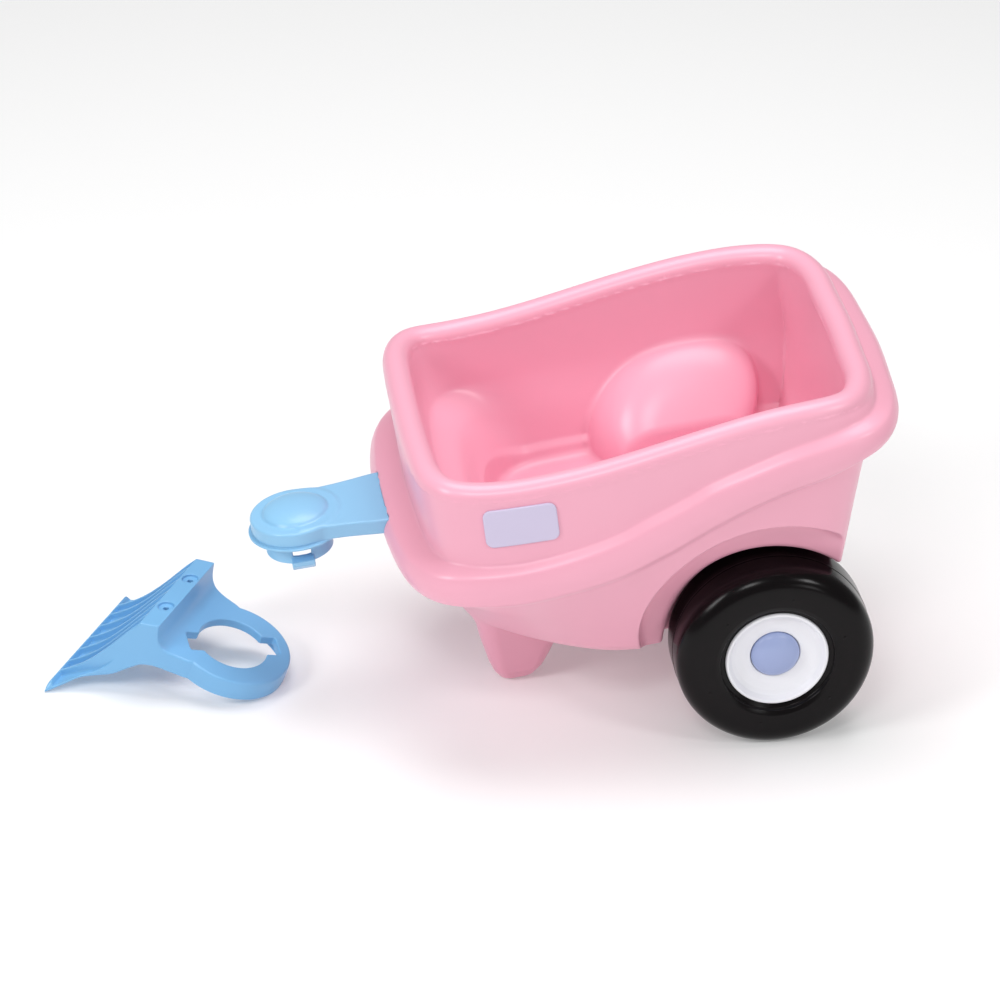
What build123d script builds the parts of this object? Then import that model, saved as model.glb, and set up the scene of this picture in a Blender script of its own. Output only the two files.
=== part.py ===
from build123d import *
import math
import os

# ---------------------------------------------------------------------------
# Toy ride-on trailer: moulded tub on two blow-moulded wheels,
# a moulded drawbar, and the separate hitch bracket that screws to the towing
# toy.  Millimetres.  Row frame: +X towards the trailer's rear, +Z up, the
# floor is z = 0.
#
# Most pieces are drawn in the trailer frame "T": its origin is the axle
# centre, x to the rear, z square to the tub's floor.  The trailer stands on
# its wheels and its prop foot, so T is pitched nose-down by PITCH.
# ---------------------------------------------------------------------------
os.makedirs("parts", exist_ok=True)

# placing
PITCH = 7.05                 # degrees, nose down
AXLE_X = 261.95              # row-frame X of the axle (origin = middle of the whole set)
ROW_Y = 0.0                  # row-frame Y of the trailer's middle plane
WHEEL_R = 89.0               # tyre radius = axle height

# tub skin
LIP_R = 12.0                 # radius of the rolled rim
UNDER_Z = 8.0                # underside of the tub, above the axle line
FLOOR_Z = 80.0               # inner floor, above the axle line
ARCH_X, ARCH_Z, ARCH_R = -7.6, 31.1, 108.7      # wheel-arch line: its centre from the axle, its radius
WELL_R = 94.0                # deep wheel well radius
WELL_Y = 84.5                # deep wheel well wall, from the middle plane
FLARE_0, FLARE_1 = 108.0, 135.0                  # the well opens out between these, from the middle plane
FLARE_X, FLARE_Z, FLARE_R = -9.0, 9.0, 98.0      # the opened-out end: centre from the axle, radius
FOOT_Z = -61.3               # tip of the prop foot
DOME_X, DOME_Z, DOME_R = -30.0, 80.0, 91.5   # inner bulge over each well
DOME_Y = 77.5                # inner face of that bulge

# running gear
AXLE_R = 4.75
BUSH_R = 7.0                 # bush barrel
AXLE_HALF = 141.0
TYRE_IN, TYRE_OUT = 88.0, 157.0     # tyre's inner and outer faces
SHOULDER, SHOULDER_IN = 18.0, 13.0   # tyre's rounded edges, outer and inner
HUB_R = 45.75
HUB_FACE = 151.5
CAP_R = 21.7

# tongue
HEAD_X, HEAD_R, HEAD_TOP = -395.0, 40.4, 148.0
ARM_T = 14.5                 # arm thickness
SPIGOT_R, SPIGOT_T = 30.2, 3.2
SPIGOT_BOTTOM = 111.5
SCREW_X, SCREW_Y = -284.0, 22.0      # the two screws that hold the tongue in its socket

# hitch bracket (its own frame: v away from the plate, w square to the ring)
RING_HOLE_R, RING_R, RING_H = 32.4, 54.6, 20.4
NOTCH_HALF_LEN, NOTCH_HALF_W, NOTCH_ANGLE = 43.3, 11.6, 38.5
BRACKET_TILT = 19.53         # ring plane to the floor
BRACKET_TURN = -29.84        # heading of v in the floor plane
BRACKET_POS = (-353.8 - 112.04 + AXLE_X, 28.0, 37.5)
SCREW_HALF = 26.0            # half the spacing of the two fixing holes
SCREW_HOLE_R, COUNTERBORE_R = 2.6, 7.4

T_LOC = Location((AXLE_X, ROW_Y, WHEEL_R), (0, -PITCH, 0))
B_LOC = Location(BRACKET_POS, (0, 0, BRACKET_TURN)) * Location((0, 0, 0), (0, BRACKET_TILT, 0))


# ---------------------------------------------------------------------------
# small helpers
# ---------------------------------------------------------------------------
def lerp_table(tab, x):
    if x <= tab[0][0]:
        return tab[0][1]
    for (x0, z0), (x1, z1) in zip(tab, tab[1:]):
        if x <= x1:
            t = (x - x0) / (x1 - x0)
            return z0 + (z1 - z0) * t
    return tab[-1][1]


def smooth_table(tab, x):
    # Catmull-Rom through a table of (x, z)
    n = len(tab)
    if x <= tab[0][0]:
        return tab[0][1]
    if x >= tab[-1][0]:
        return tab[-1][1]
    i = max(k for k in range(n - 1) if tab[k][0] <= x)
    x0, z0 = tab[i]
    x1, z1 = tab[i + 1]
    h = x1 - x0
    m0 = (z1 - tab[i - 1][1]) / (x1 - tab[i - 1][0]) if i > 0 else (z1 - z0) / h
    m1 = (tab[i + 2][1] - z0) / (tab[i + 2][0] - x0) if i < n - 2 else (z1 - z0) / h
    t = (x - x0) / h
    return ((2 * t**3 - 3 * t**2 + 1) * z0 + (t**3 - 2 * t**2 + t) * h * m0
            + (-2 * t**3 + 3 * t**2) * z1 + (t**3 - t**2) * h * m1)


def full_loop(half):
    # half: (x, |y|, z) from front centre round the near side to rear centre
    near = [(x, -y, z) for x, y, z in half]
    far = [(x, y, z) for x, y, z in half[1:-1]][::-1]
    return near + far


def normals(half):
    # outward plan normals of a half loop (near side drawn with y negative)
    out = []
    n = len(half)
    pts = [(x, -y) for x, y, z in half]
    for i in range(n):
        if i == 0:
            out.append((-1.0, 0.0))
            continue
        if i == n - 1:
            out.append((1.0, 0.0))
            continue
        ax, ay = pts[i - 1]
        bx, by = pts[i + 1]
        tx, ty = bx - ax, by - ay
        L = math.hypot(tx, ty)
        out.append((ty / L, -tx / L))
    return out


def offset_half(half, d, dz=0.0):
    res = []
    for (x, y, z), (nx, ny) in zip(half, normals(half)):
        res.append((x + nx * d, max(0.0, y - ny * d), z + dz))
    res[0] = (res[0][0], 0.0, res[0][2])
    res[-1] = (res[-1][0], 0.0, res[-1][2])
    return res


def wire_of(half):
    return Wire([Edge.make_spline([Vector(*p) for p in full_loop(half)], periodic=True)])


def revolve_profile(pts):
    # pts: (radius, s); revolved about the Y axis with s along +Y
    face = make_face(Polyline(*[(r, s) for r, s in pts], close=True).edges())
    return revolve(face, axis=Axis.Y, revolution_arc=360)


def arc_pts(cx, cy, r, a0, a1, n=8):
    return [(cx + r * math.cos(math.radians(a0 + (a1 - a0) * i / n)),
             cy + r * math.sin(math.radians(a0 + (a1 - a0) * i / n))) for i in range(n + 1)]


def ycyl(r, y0, y1, x=0.0, z=0.0):
    c = Cylinder(r, abs(y1 - y0))
    return Pos(x, (y0 + y1) / 2, z) * (Rot(90, 0, 0) * c)


def box(x0, x1, y0, y1, z0, z1):
    return Pos((x0 + x1) / 2, (y0 + y1) / 2, (z0 + z1) / 2) * Box(x1 - x0, y1 - y0, z1 - z0)


# ---------------------------------------------------------------------------
# tub loops, trailer frame
# ---------------------------------------------------------------------------
# rolled rim, centre line of its tube
RIM = [(-283, 0, 223.5), (-282.6, 45, 223.5), (-281, 88, 223.2), (-276, 120, 222), (-264, 139, 220),
       (-240, 147.6, 216.5), (-188, 152.3, 215.3), (-138, 155, 219.6), (-88, 155.9, 226.7),
       (-37, 155, 233.8), (13, 152.3, 238.6), (60, 147.5, 238.6), (88, 137, 236.6), (102, 112, 235.6),
       (106.5, 62, 235.2), (108, 0, 235)]
UPPER_CREASE_Z = [(-325, 160), (-270, 157), (-240, 154.5), (-208, 154), (-167, 159), (-126, 169), (-98, 180),
                  (-63, 193), (-42, 202), (-6, 211), (30, 219), (66, 223), (94, 226), (125, 227)]
LOWER_CREASE_Z = [(-325, 112), (-254, 110.5), (-213, 110), (-172, 114), (-131, 121), (-89, 135), (-46, 153),
                  (-10, 166), (26, 175), (62, 181), (98, 190), (125, 192)]
UPPER_CREASE = [(-293, 0), (-292, 45), (-290, 88), (-285, 122), (-272, 148), (-244, 161), (-190, 166.5),
                (-138, 169), (-88, 169.5), (-37, 169), (13, 167), (66, 161.5), (100, 149), (115, 118),
                (119, 62), (120.5, 0)]
BAND = [(-322, 0), (-321, 48), (-317, 92), (-308, 130), (-289, 157), (-252, 172), (-196, 177),
        (-140, 179), (-88, 179.5), (-37, 179), (15, 177.5), (72, 172.5), (112, 160), (132, 126),
        (140, 64), (142.5, 0)]
LOWER_CREASE = [(-305, 0), (-303, 42), (-299, 82), (-289, 117), (-270, 144), (-240, 159.5), (-196, 166),
                (-142, 168.5), (-89, 169), (-40, 168.5), (10, 166.5), (58, 162), (92, 149), (105, 116),
                (110, 60), (111.5, 0)]
LOWER_MID = [(-281, 0), (-277, 30), (-265, 58), (-245, 86), (-214, 112), (-176, 130), (-140, 138),
             (-105, 141), (-70, 142), (-35, 142), (5, 140.5), (45, 135), (66, 122), (74, 96),
             (78, 50), (79, 0)]
BOTTOM = [(-253, 0), (-246.5, 18), (-229, 40), (-205, 64), (-173, 90), (-138, 109.5), (-108, 116),
          (-80, 118), (-50, 118.5), (-20, 118), (12, 116), (42, 110), (59, 97), (66, 76),
          (69.5, 40), (70, 0)]
INNER_MID = [(-264, 0), (-263, 44), (-260, 84), (-252, 114), (-236, 131), (-210, 138.5), (-170, 141),
             (-125, 142), (-80, 142), (-38, 141), (8, 140), (54, 141), (79, 132), (85.5, 99),
             (87.5, 52), (88.5, 0)]
INNER_LOW = [(-240, 0), (-238.5, 40), (-234, 76), (-224, 105), (-206, 124), (-182, 132), (-150, 134),
             (-112, 135), (-75, 135), (-38, 134), (4, 133), (48, 134), (71.5, 125), (79, 94),
             (81.5, 48), (82.5, 0)]
LEDGE = [(-226, 0), (-224.5, 38), (-219, 72), (-208, 100), (-190, 120), (-168, 128.5), (-140, 131),
         (-106, 132), (-72, 132), (-38, 131), (0, 129), (42, 127), (63, 117), (71.5, 88),
         (75, 46), (76, 0)]
LEDGE_Z = [(-240, 122), (-215, 117), (-190, 104), (-170, 98), (80, 97)]


def with_z(plan, zf):
    return [(x, y, zf(x)) for x, y in plan]


def tub_loft():
    """The tub's skin, outside, over the rim and down the inside, as one closed solid."""
    zu = lambda x: smooth_table(UPPER_CREASE_Z, x)
    zl = lambda x: smooth_table(LOWER_CREASE_Z, x)
    loops = []
    bottom = with_z(BOTTOM, lambda x: UNDER_Z)
    loops.append(offset_half(bottom, -9))
    loops.append(offset_half(bottom, -3.2, 1.8))
    loops.append(offset_half(bottom, 0.6, 9))
    loops.append(with_z(LOWER_MID, lambda x: 62.0))
    lc = with_z(LOWER_CREASE, zl)
    bd = [(x, y, 0.5 * (zu(x) + zl(x)) - 1.0) for x, y in BAND]
    uc = with_z(UPPER_CREASE, zu)
    loops.append(lc)
    k = 0.80
    loops.append([(a[0] + (b[0] - a[0]) * k, a[1] + (b[1] - a[1]) * k, a[2] + (b[2] - a[2]) * 0.42)
                  for a, b in zip(lc, bd)])
    loops.append(bd)
    loops.append([(a[0] + (b[0] - a[0]) * k, a[1] + (b[1] - a[1]) * k, a[2] + (b[2] - a[2]) * 0.42)
                  for a, b in zip(uc, bd)])
    loops.append(uc)
    for ang in (0, 45, 90, 135, 180):
        c, s = math.cos(math.radians(ang)), math.sin(math.radians(ang))
        loops.append([(x, y, z + LIP_R * s) for x, y, z in offset_half(RIM, LIP_R * c)])
    loops.append([(x, y, 168.0) for x, y in INNER_MID])
    loops.append([(x, y, smooth_table(LEDGE_Z, x) + 24) for x, y in INNER_LOW])
    led = with_z(LEDGE, lambda x: smooth_table(LEDGE_Z, x))
    loops.append(led)
    loops.append(offset_half(led, -5.0, -6.0))
    loops.append([(x, y, FLOOR_Z + 5.0) for x, y, z in offset_half(led, -6.5)])
    loops.append([(x, y, FLOOR_Z) for x, y, z in offset_half(led, -12.0)])
    return Solid.make_loft([wire_of(h) for h in loops], ruled=True)


def dome(side):
    """Bulge of the inner skin over a wheel well, with the low housing under it."""
    depth = 136.0 - DOME_Y
    arc = Edge.make_spline([Vector(DOME_R * math.cos(math.pi / 2 * i / 8), depth * math.sin(math.pi / 2 * i / 8), 0)
                            for i in range(9)], tangents=[Vector(0, 1, 0), Vector(-1, 0, 0)])
    f = make_face([arc, Line((0, depth), (0, 0)).edge(), Line((0, 0), (DOME_R, 0)).edge()])
    s = Pos(DOME_X, -136.0, DOME_Z) * (Rot(0, 90, 0) * revolve(f, axis=Axis.Y, revolution_arc=360))
    s = s + box(-66, 62, -136, -79, 40, 98)
    s = s & box(-130, 70, -150, 0, 40, 200)
    return s if side < 0 else mirror(s, about=Plane.XZ)


def well_cutters(side):
    """Deep well round the tyre and the shallow recess inside the arch line."""
    deep = ycyl(WELL_R, -260, -WELL_Y)
    rings = [Pos(0, -FLARE_0, 0) * (Rot(90, 0, 0) * Circle(WELL_R)),
             Pos(FLARE_X, -FLARE_1, FLARE_Z) * (Rot(90, 0, 0) * Circle(FLARE_R))]
    flare = Solid.make_loft([q.face().outer_wire() for q in rings], ruled=True)
    flare = flare + ycyl(FLARE_R, -260, -FLARE_1, FLARE_X, FLARE_Z)
    deep = deep + flare
    arch = ycyl(ARCH_R, -260, -60, ARCH_X, ARCH_Z)
    # recess wall: slopes outwards with height
    prof = make_face(Polyline((-260, -140), (-104, -140), (-104, UNDER_Z), (-146.6, 150), (-260, 150),
                              close=True).edges())
    rec = arch & (Pos(-200, 0, 0) * extrude(Plane.YZ * prof, amount=420))
    out = [deep, rec]
    return out if side < 0 else [mirror(o, about=Plane.XZ) for o in out]


def keel():
    """Cross rib under the tub that carries the axle."""
    pr = make_face(Polyline((-34, UNDER_Z + 8), *arc_pts(0, 0, 15.0, 215, 325, 10), (34, UNDER_Z + 8),
                            close=True).edges())
    return extrude(Plane.XZ * pr, amount=WELL_Y, both=True)


def rounded_rect(x0, x1, hy, r, z):
    w = Rectangle(x1 - x0, 2 * hy)
    f = fillet(w.vertices(), r)
    return (Pos((x0 + x1) / 2, 0, z) * f).face().outer_wire()


def foot():
    """Prop foot on the middle plane, under the nose."""
    secs = [rounded_rect(-251, -158, 31, 18, 14),
            rounded_rect(-248.5, -172, 26, 16, -10),
            rounded_rect(-243.5, -187, 20.5, 14, -38),
            rounded_rect(-240, -194.5, 17.5, 12, -50),
            rounded_rect(-235.5, -202.5, 14.0, 10.5, -58),
            rounded_rect(-229.5, -210.5, 8.5, 7.0, FOOT_Z)]
    return Solid.make_loft(secs, ruled=True)


def build_tub():
    t = tub_loft()
    for s in (-1, 1):
        t = t + dome(s)
    for s in (-1, 1):
        for c in well_cutters(s):
            t = t - c
    t = t + keel() + foot()
    # tongue socket
    t = t - box(-340, -262, -43.2, 43.2, HEAD_TOP - ARM_T, HEAD_TOP + 0.05)
    # axle: through hole with a counterbore at each end for the bush
    t = t - ycyl(5.6, -90, 90)
    for s in (-1, 1):
        t = t - ycyl(BUSH_R, s * (WELL_Y - 18), s * 90)
    # tongue screws: counterbore from below, clearance hole above it
    for s in (-1, 1):
        t = t - Pos(SCREW_X, s * SCREW_Y, 90) * Cylinder(5.0, 60)
        t = t - Pos(SCREW_X, s * SCREW_Y, 120) * Cylinder(2.4, 40)
    # shallow seats for the side plates
    for s in (-1, 1):
        t = t - side_plate(s)
    return t


def tongue():
    top, bot = HEAD_TOP, HEAD_TOP - ARM_T
    head = Pos(HEAD_X, 0, (top + bot) / 2) * Cylinder(HEAD_R, ARM_T)
    lip = Pos(HEAD_X, 0, bot - 0.8) * Cylinder(HEAD_R + 3.0, 2.2)
    arm_pts = [(HEAD_X + 15, -36.5), (-374, -35.5), (-356, -37.2), (-324, -42.2), (-318, -43.0), (-264, -43.0),
               (-264, 43.0), (-318, 43.0), (-324, 42.2), (-356, 37.2), (-374, 35.5), (HEAD_X + 15, 36.5)]
    arm = extrude(Pos(0, 0, bot) * make_face(Polyline(*arm_pts, close=True).edges()), amount=ARM_T)
    body = head + lip + arm
    # dome on the head
    dr, dh = 29.6, 8.6
    dome_pts = [(0, -2)] + [(dr * math.sin(math.pi / 2 * i / 10), dh * math.cos(math.pi / 2 * i / 10)) for i in range(11)] + [(dr, -2)]
    dface = make_face(Polyline(*dome_pts, close=True).edges())
    dsol = Rot(90, 0, 0) * revolve(dface, axis=Axis.Y, revolution_arc=360)
    body = body + Pos(HEAD_X + 0.8, 0, top) * dsol
    # hollow underside: 4 mm top skin, 3.5 mm walls
    body = body - (Pos(HEAD_X, 0, bot - 2) * Cylinder(SPIGOT_R - SPIGOT_T, 2 * (ARM_T + 2 - 4)))
    for x0, x1, w in ((-361, -345, 32), (-341, -323, 34)):
        for y0, y1 in ((-w, -2), (2, w)):
            body = body - box(x0, x1, y0, y1, bot - 5, top - 4)
    # spigot ring below
    ring = Pos(HEAD_X, 0, (SPIGOT_BOTTOM + bot + 2) / 2) * (Cylinder(SPIGOT_R, bot + 2 - SPIGOT_BOTTOM)
                                                          - Cylinder(SPIGOT_R - SPIGOT_T, 60))
    tabs = None
    for s in (-1, 1):
        ring = ring - box(HEAD_X - 8.2, HEAD_X + 8.2, min(s * 22, s * 40), max(s * 22, s * 40), 118.6, 124.2)
        tb = box(HEAD_X - 10.2, HEAD_X + 10.2, min(s * (SPIGOT_R - 2.6), s * 38.6), max(s * (SPIGOT_R - 2.6), s * 38.6),
                 106.6, 117.6)
        # taper the nose of the tab
        tb = tb - (Pos(HEAD_X, s * 40.5, 104.5) * (Rot(s * 38, 0, 0) * Box(30, 12, 9)))
        ring = ring + tb
    body = body + ring
    for s in (-1, 1):
        body = body - Pos(SCREW_X, s * SCREW_Y, bot + 4.5) * Cylinder(1.95, 14)
    return body


def tongue_screws():
    out = []
    for s in (-1, 1):
        head = Pos(0, 0, 118.5) * Cylinder(4.4, 3.0)
        shank = Pos(0, 0, (119.5 + 143.5) / 2) * Cylinder(1.95, 143.5 - 119.5)
        slot = Pos(0, 0, 117.0) * (Box(5.2, 1.1, 2.4) + Box(1.1, 5.2, 2.4))
        out.append(Pos(SCREW_X, s * SCREW_Y, 0) * (head + shank - slot))
    return out


# ---------------------------------------------------------------------------
# running gear; profiles are (radius, distance from the middle plane)
# ---------------------------------------------------------------------------
def tyre_profile(off):
    """Section of the hollow moulded wheel; off shrinks it to the inner void."""
    R = WHEEL_R - off
    si, so = TYRE_IN + off, TYRE_OUT - off
    r = SHOULDER - off
    # outer face, from the hub pocket's mouth outwards, then the tread and the inner face
    pts = [(46.4 + off, 150.6 - off * 0.6), (50.2, 152.0 - off), (51.6, 154.2 - off), (55, so - 0.7), (62, so),
           (R - r, so - 0.2)]
    pts += arc_pts(R - r, so - 0.2 - r, r, 90, 0, 9)[1:]
    r = SHOULDER_IN - off
    pts += [(R, si + r)]
    pts += arc_pts(R - r, si + r, r, 0, -90, 7)[1:]
    pts += [(40, si), (34, si + 2.5), (23.0, si + 2.5), (21.0, si + 0.5), (16.2 + off, si + 0.5)]
    # pocket floor for the hub
    pts += [(16.2 + off, 118.0 - off), (46.4 + off, 118.0 - off)]
    return pts


def tyre(side):
    t = revolve_profile(tyre_profile(0.0)) - revolve_profile(tyre_profile(3.4))
    return place_wheel(t, side)


def place_wheel(s, side):
    # profiles run towards +Y; the near wheel is the mirror image
    return s if side > 0 else mirror(s, about=Plane.XZ)


def hub(side):
    pts = [(AXLE_R + 0.05, 89.0), (16.2, 89.0), (16.2, 118.0), (44.8, 118.0), (44.8, 145.5), (46.4, 146.5),
           (46.4, 150.2), (HUB_R, 151.5), (43.4, 151.5), (42.4, 149.6), (40.6, 146.6), (36.5, 144.2), (30.0, 142.6),
           (25.0, 141.9), (22.4, 141.6), (22.4, 138.6), (19.6, 138.6), (19.6, 136.2), (AXLE_R + 0.05, 136.2)]
    s = revolve_profile(pts)
    # sealed ring-shaped hollow between the dish and the pocket floor
    cut = revolve_profile([(18.6, 121.6), (41.4, 121.6), (41.4, 142.2), (36.0, 140.8), (24.5, 138.4), (24.5, 133.2),
                           (18.6, 133.2)])
    s = s - cut
    return place_wheel(s, side)


def cap(side):
    dome_pts = [(0, 150.4)] + [(CAP_R * math.sin(math.pi / 2 * i / 9), 141.75 + 8.65 * math.cos(math.pi / 2 * i / 9))
                               for i in range(1, 10)]
    pts = [(0.0, 147.4)] + dome_pts + [(CAP_R, 138.6), (19.6, 138.6), (19.6, 136.6), (16.4, 136.6), (16.4, 144.6),
                                       (10, 147.0)]
    return place_wheel(revolve_profile(pts), side)


def push_nut(side):
    pts = [(0, 141.05), (0, 143.4), (4.0, 143.2), (6.6, 141.4), (7.0, 138.6), (10.8, 138.2), (10.8, 137.3),
           (AXLE_R, 137.3), (AXLE_R, 141.05)]
    return place_wheel(revolve_profile(pts), side)


def outer_washer(side):
    return place_wheel(revolve_profile([(AXLE_R + 0.05, 136.3), (11.5, 136.3), (11.5, 137.25), (AXLE_R + 0.05, 137.25)]), side)


def inner_spacer(side):
    return place_wheel(revolve_profile([(AXLE_R + 0.05, 86.3), (12.0, 86.3), (12.0, 88.0), (9.0, 88.0), (9.0, 88.9),
                                        (AXLE_R + 0.05, 88.9)]), side)


def bush(side):
    pts = [(AXLE_R + 0.06, WELL_Y - 17.9), (BUSH_R, WELL_Y - 17.9), (BUSH_R, WELL_Y), (12.5, WELL_Y), (12.5, WELL_Y + 1.6),
           (AXLE_R + 0.06, WELL_Y + 1.6)]
    return place_wheel(revolve_profile(pts), side)


def axle():
    a = ycyl(AXLE_R, -AXLE_HALF, AXLE_HALF)
    return a


def side_plate(side):
    """Plain plate with rounded corners on the upper side panel."""
    plate = extrude(RectangleRounded(64.0, 36.0, 7.0), amount=2.2)
    # square to the panel, which leans in upwards and draws in towards the nose
    loc = Location((-209.0, -163.9, 190.5)) * Location((0, 0, 0), (0, 0, -5.0)) * Location((0, 0, 0), (86.6, 0, 0))
    s = loc * plate
    return s if side < 0 else mirror(s, about=Plane.XZ)


# ---------------------------------------------------------------------------
# hitch bracket, own frame
# ---------------------------------------------------------------------------
PAD_BACK, PAD_FRONT = (-73.5, 18.8), (-56.0, 25.0)
BACK_CURVE = [(-73.5, 18.8), (-79, 8.5), (-84.5, -3), (-91, -17), (-98, -31.5), (-105.5, -45), (-113.5, -56.5),
              (-122, -66.5), (-129.5, -74.5), (-131.2, -80.0)]
UNDER_CURVE = [(-129.3, -85.2), (-116, -72.5), (-107, -63), (-94, -55.5), (-81, -47.5), (-70, -35), (-60, -24.5), (-50, -20.4)]

POCKETS = [(-86, -62.5), (-59.8, -44.6), (-42.4, -22.8), (-20.6, -1.1), (1.1, 20.6), (22.8, 42.4), (44.6, 59.8), (62.5, 86)]


def bracket_body():
    prof = [PAD_FRONT] + BACK_CURVE + UNDER_CURVE + [(55, -20.4), (55, 0), (-34, 0), (-42, 0.8), (-47.5, 3.2),
                                                     (-51.5, 8), (-54, 14.5)]
    f = make_face(Polyline(*prof, close=True).edges())
    s = extrude(Plane.XZ * f, amount=100, both=True)
    # plan outline
    half = [(-130.5, 91), (-118, 80), (-104, 71), (-90, 66), (-76, 63), (-58, 61.5), (-44, 58.5), (-32, 55.6), (-22, 53.6)]
    plan = half + [(RING_R * math.cos(a), RING_R * math.sin(a)) for a in
                   [math.radians(108 - i * 9) for i in range(25)]] + [(x, -y) for x, y in half[::-1]]
    pf = make_face(Polyline(*plan, close=True).edges())
    s = s & extrude(Pos(0, 0, -100) * pf, amount=140)
    # front view: flares at the foot of the plate
    fv = [(62, 30), (62, -22), (64.5, -38), (70, -54), (79, -72), (90, -87), (-90, -87), (-79, -72), (-70, -54),
          (-64.5, -38), (-62, -22), (-62, 30)]
    ff = make_face(Polyline(*fv, close=True).edges())
    s = s & extrude(Pos(-160, 0, 0) * (Plane.YZ * ff), amount=240)
    return s


def bracket():
    s = bracket_body()
    # ring: hole, notches, hollow underside
    s = s - Cylinder(RING_HOLE_R, 90)
    s = s - Rot(0, 0, NOTCH_ANGLE) * Box(2 * NOTCH_HALF_LEN, 2 * NOTCH_HALF_W, 90)
    s = s - Pos(0, 0, -8.4 - 10) * Cylinder(RING_R - 3.6, 20)
    s = s - Pos(0, 0, -8.4 + 2.2) * (Cylinder(RING_R - 3.6, 5.0) - Cylinder(RING_HOLE_R + 3.0, 6))
    # hollow under the pad and web, open below
    cav = [(-68.5, 13.2), (-58.2, 16.8), (-57.2, 15.6), (-54.6, 7.6), (-50.8, 0.9), (-46.5, -2.6), (-40, -4.2),
           (-40, -40), (-61, -40), (-68, -29), (-74, -20), (-77, -8)]
    cf = make_face(Polyline(*cav, close=True).edges())
    s = s - (extrude(Plane.XZ * cf, amount=56.5, both=True))
    # pockets between the ribs of the back plate
    deep = [(-73.2, 12.6), (-79.5, -3.5), (-82, -16), (-84.5, -32), (-94, -47.5), (-105, -58.5), (-114.5, -67.5),
            (-124.5, -77.5)]
    poly = deep + [(-139.5, -64), (-128, -20), (-96, 34), (-79, 20)]
    pf = make_face(Polyline(*poly, close=True).edges())
    for a, b in POCKETS:
        s = s - Pos(0, (a + b) / 2, 0) * extrude(Plane.XZ * pf, amount=(b - a) / 2, both=True)
    # two counterbored fixing holes, square to the pad (upright at rest)
    for u in (-SCREW_HALF, SCREW_HALF):
        loc = Location((-64.6, u, 22.0), (0, -BRACKET_TILT, 0))
        s = s - loc * (Cylinder(SCREW_HOLE_R, 60))
        s = s - loc * (Pos(0, 0, 10.0 - 2.6) * Cylinder(COUNTERBORE_R, 20))
    return s


# ---------------------------------------------------------------------------
def save(shape, name, loc):
    sols = shape if isinstance(shape, list) else [shape]
    out = []
    for s in sols:
        for q in s.solids():
            out.append(loc * q)
    out = [o for o in out if o.volume > 1.0]
    obj = out[0] if len(out) == 1 else Compound(children=out)
    export_step(obj, "parts/%s.step" % name)
    bb = obj.bounding_box()
    print("%-18s solids %d vol %.0f  x %.1f..%.1f y %.1f..%.1f z %.1f..%.1f" % (
        name, len(out), sum(o.volume for o in out), bb.min.X, bb.max.X, bb.min.Y, bb.max.Y, bb.min.Z, bb.max.Z))
    return bb


boxes = []
boxes.append(save(build_tub(), "tub", T_LOC))
boxes.append(save(tongue(), "tongue", T_LOC))
boxes.append(save(tongue_screws(), "tongue_screws", T_LOC))
boxes.append(save(axle(), "axle_rod", T_LOC))
for side, tag in ((-1, "left"), (1, "right")):
    boxes.append(save(tyre(side), "tyre_" + tag, T_LOC))
    boxes.append(save(hub(side), "wheel_hub_" + tag, T_LOC))
    boxes.append(save(cap(side), "hub_cap_" + tag, T_LOC))
    boxes.append(save(push_nut(side), "push_nut_" + tag, T_LOC))
    boxes.append(save(outer_washer(side), "outer_washer_" + tag, T_LOC))
    boxes.append(save(inner_spacer(side), "inner_spacer_" + tag, T_LOC))
    boxes.append(save(bush(side), "axle_bush_" + tag, T_LOC))
    boxes.append(save(side_plate(side), "side_plate_" + tag, T_LOC))
boxes.append(save(bracket(), "hitch_bracket", B_LOC))
print("whole: x %.2f..%.2f y %.2f..%.2f z %.2f..%.2f" % (
    min(b.min.X for b in boxes), max(b.max.X for b in boxes), min(b.min.Y for b in boxes), max(b.max.Y for b in boxes),
    min(b.min.Z for b in boxes), max(b.max.Z for b in boxes)))
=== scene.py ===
import math
import time

import bpy
import numpy as np
from mathutils import Matrix, Vector


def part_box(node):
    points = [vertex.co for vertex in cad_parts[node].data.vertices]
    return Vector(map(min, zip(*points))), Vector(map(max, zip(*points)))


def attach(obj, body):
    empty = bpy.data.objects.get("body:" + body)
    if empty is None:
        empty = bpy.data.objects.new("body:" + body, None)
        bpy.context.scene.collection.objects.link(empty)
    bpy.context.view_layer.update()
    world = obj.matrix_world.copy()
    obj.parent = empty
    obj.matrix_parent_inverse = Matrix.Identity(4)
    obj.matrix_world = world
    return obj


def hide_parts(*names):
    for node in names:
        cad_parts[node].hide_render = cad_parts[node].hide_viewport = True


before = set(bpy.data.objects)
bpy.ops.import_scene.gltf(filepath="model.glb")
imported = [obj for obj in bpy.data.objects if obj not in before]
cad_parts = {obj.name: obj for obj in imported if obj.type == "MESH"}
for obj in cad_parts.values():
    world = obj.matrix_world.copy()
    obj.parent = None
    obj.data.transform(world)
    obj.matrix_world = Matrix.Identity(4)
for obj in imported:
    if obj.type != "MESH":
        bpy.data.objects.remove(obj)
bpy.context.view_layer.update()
T0 = time.time()


def say(*a):
    print("[scene %.1fs]" % (time.time() - T0), *a, flush=True)


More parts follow.
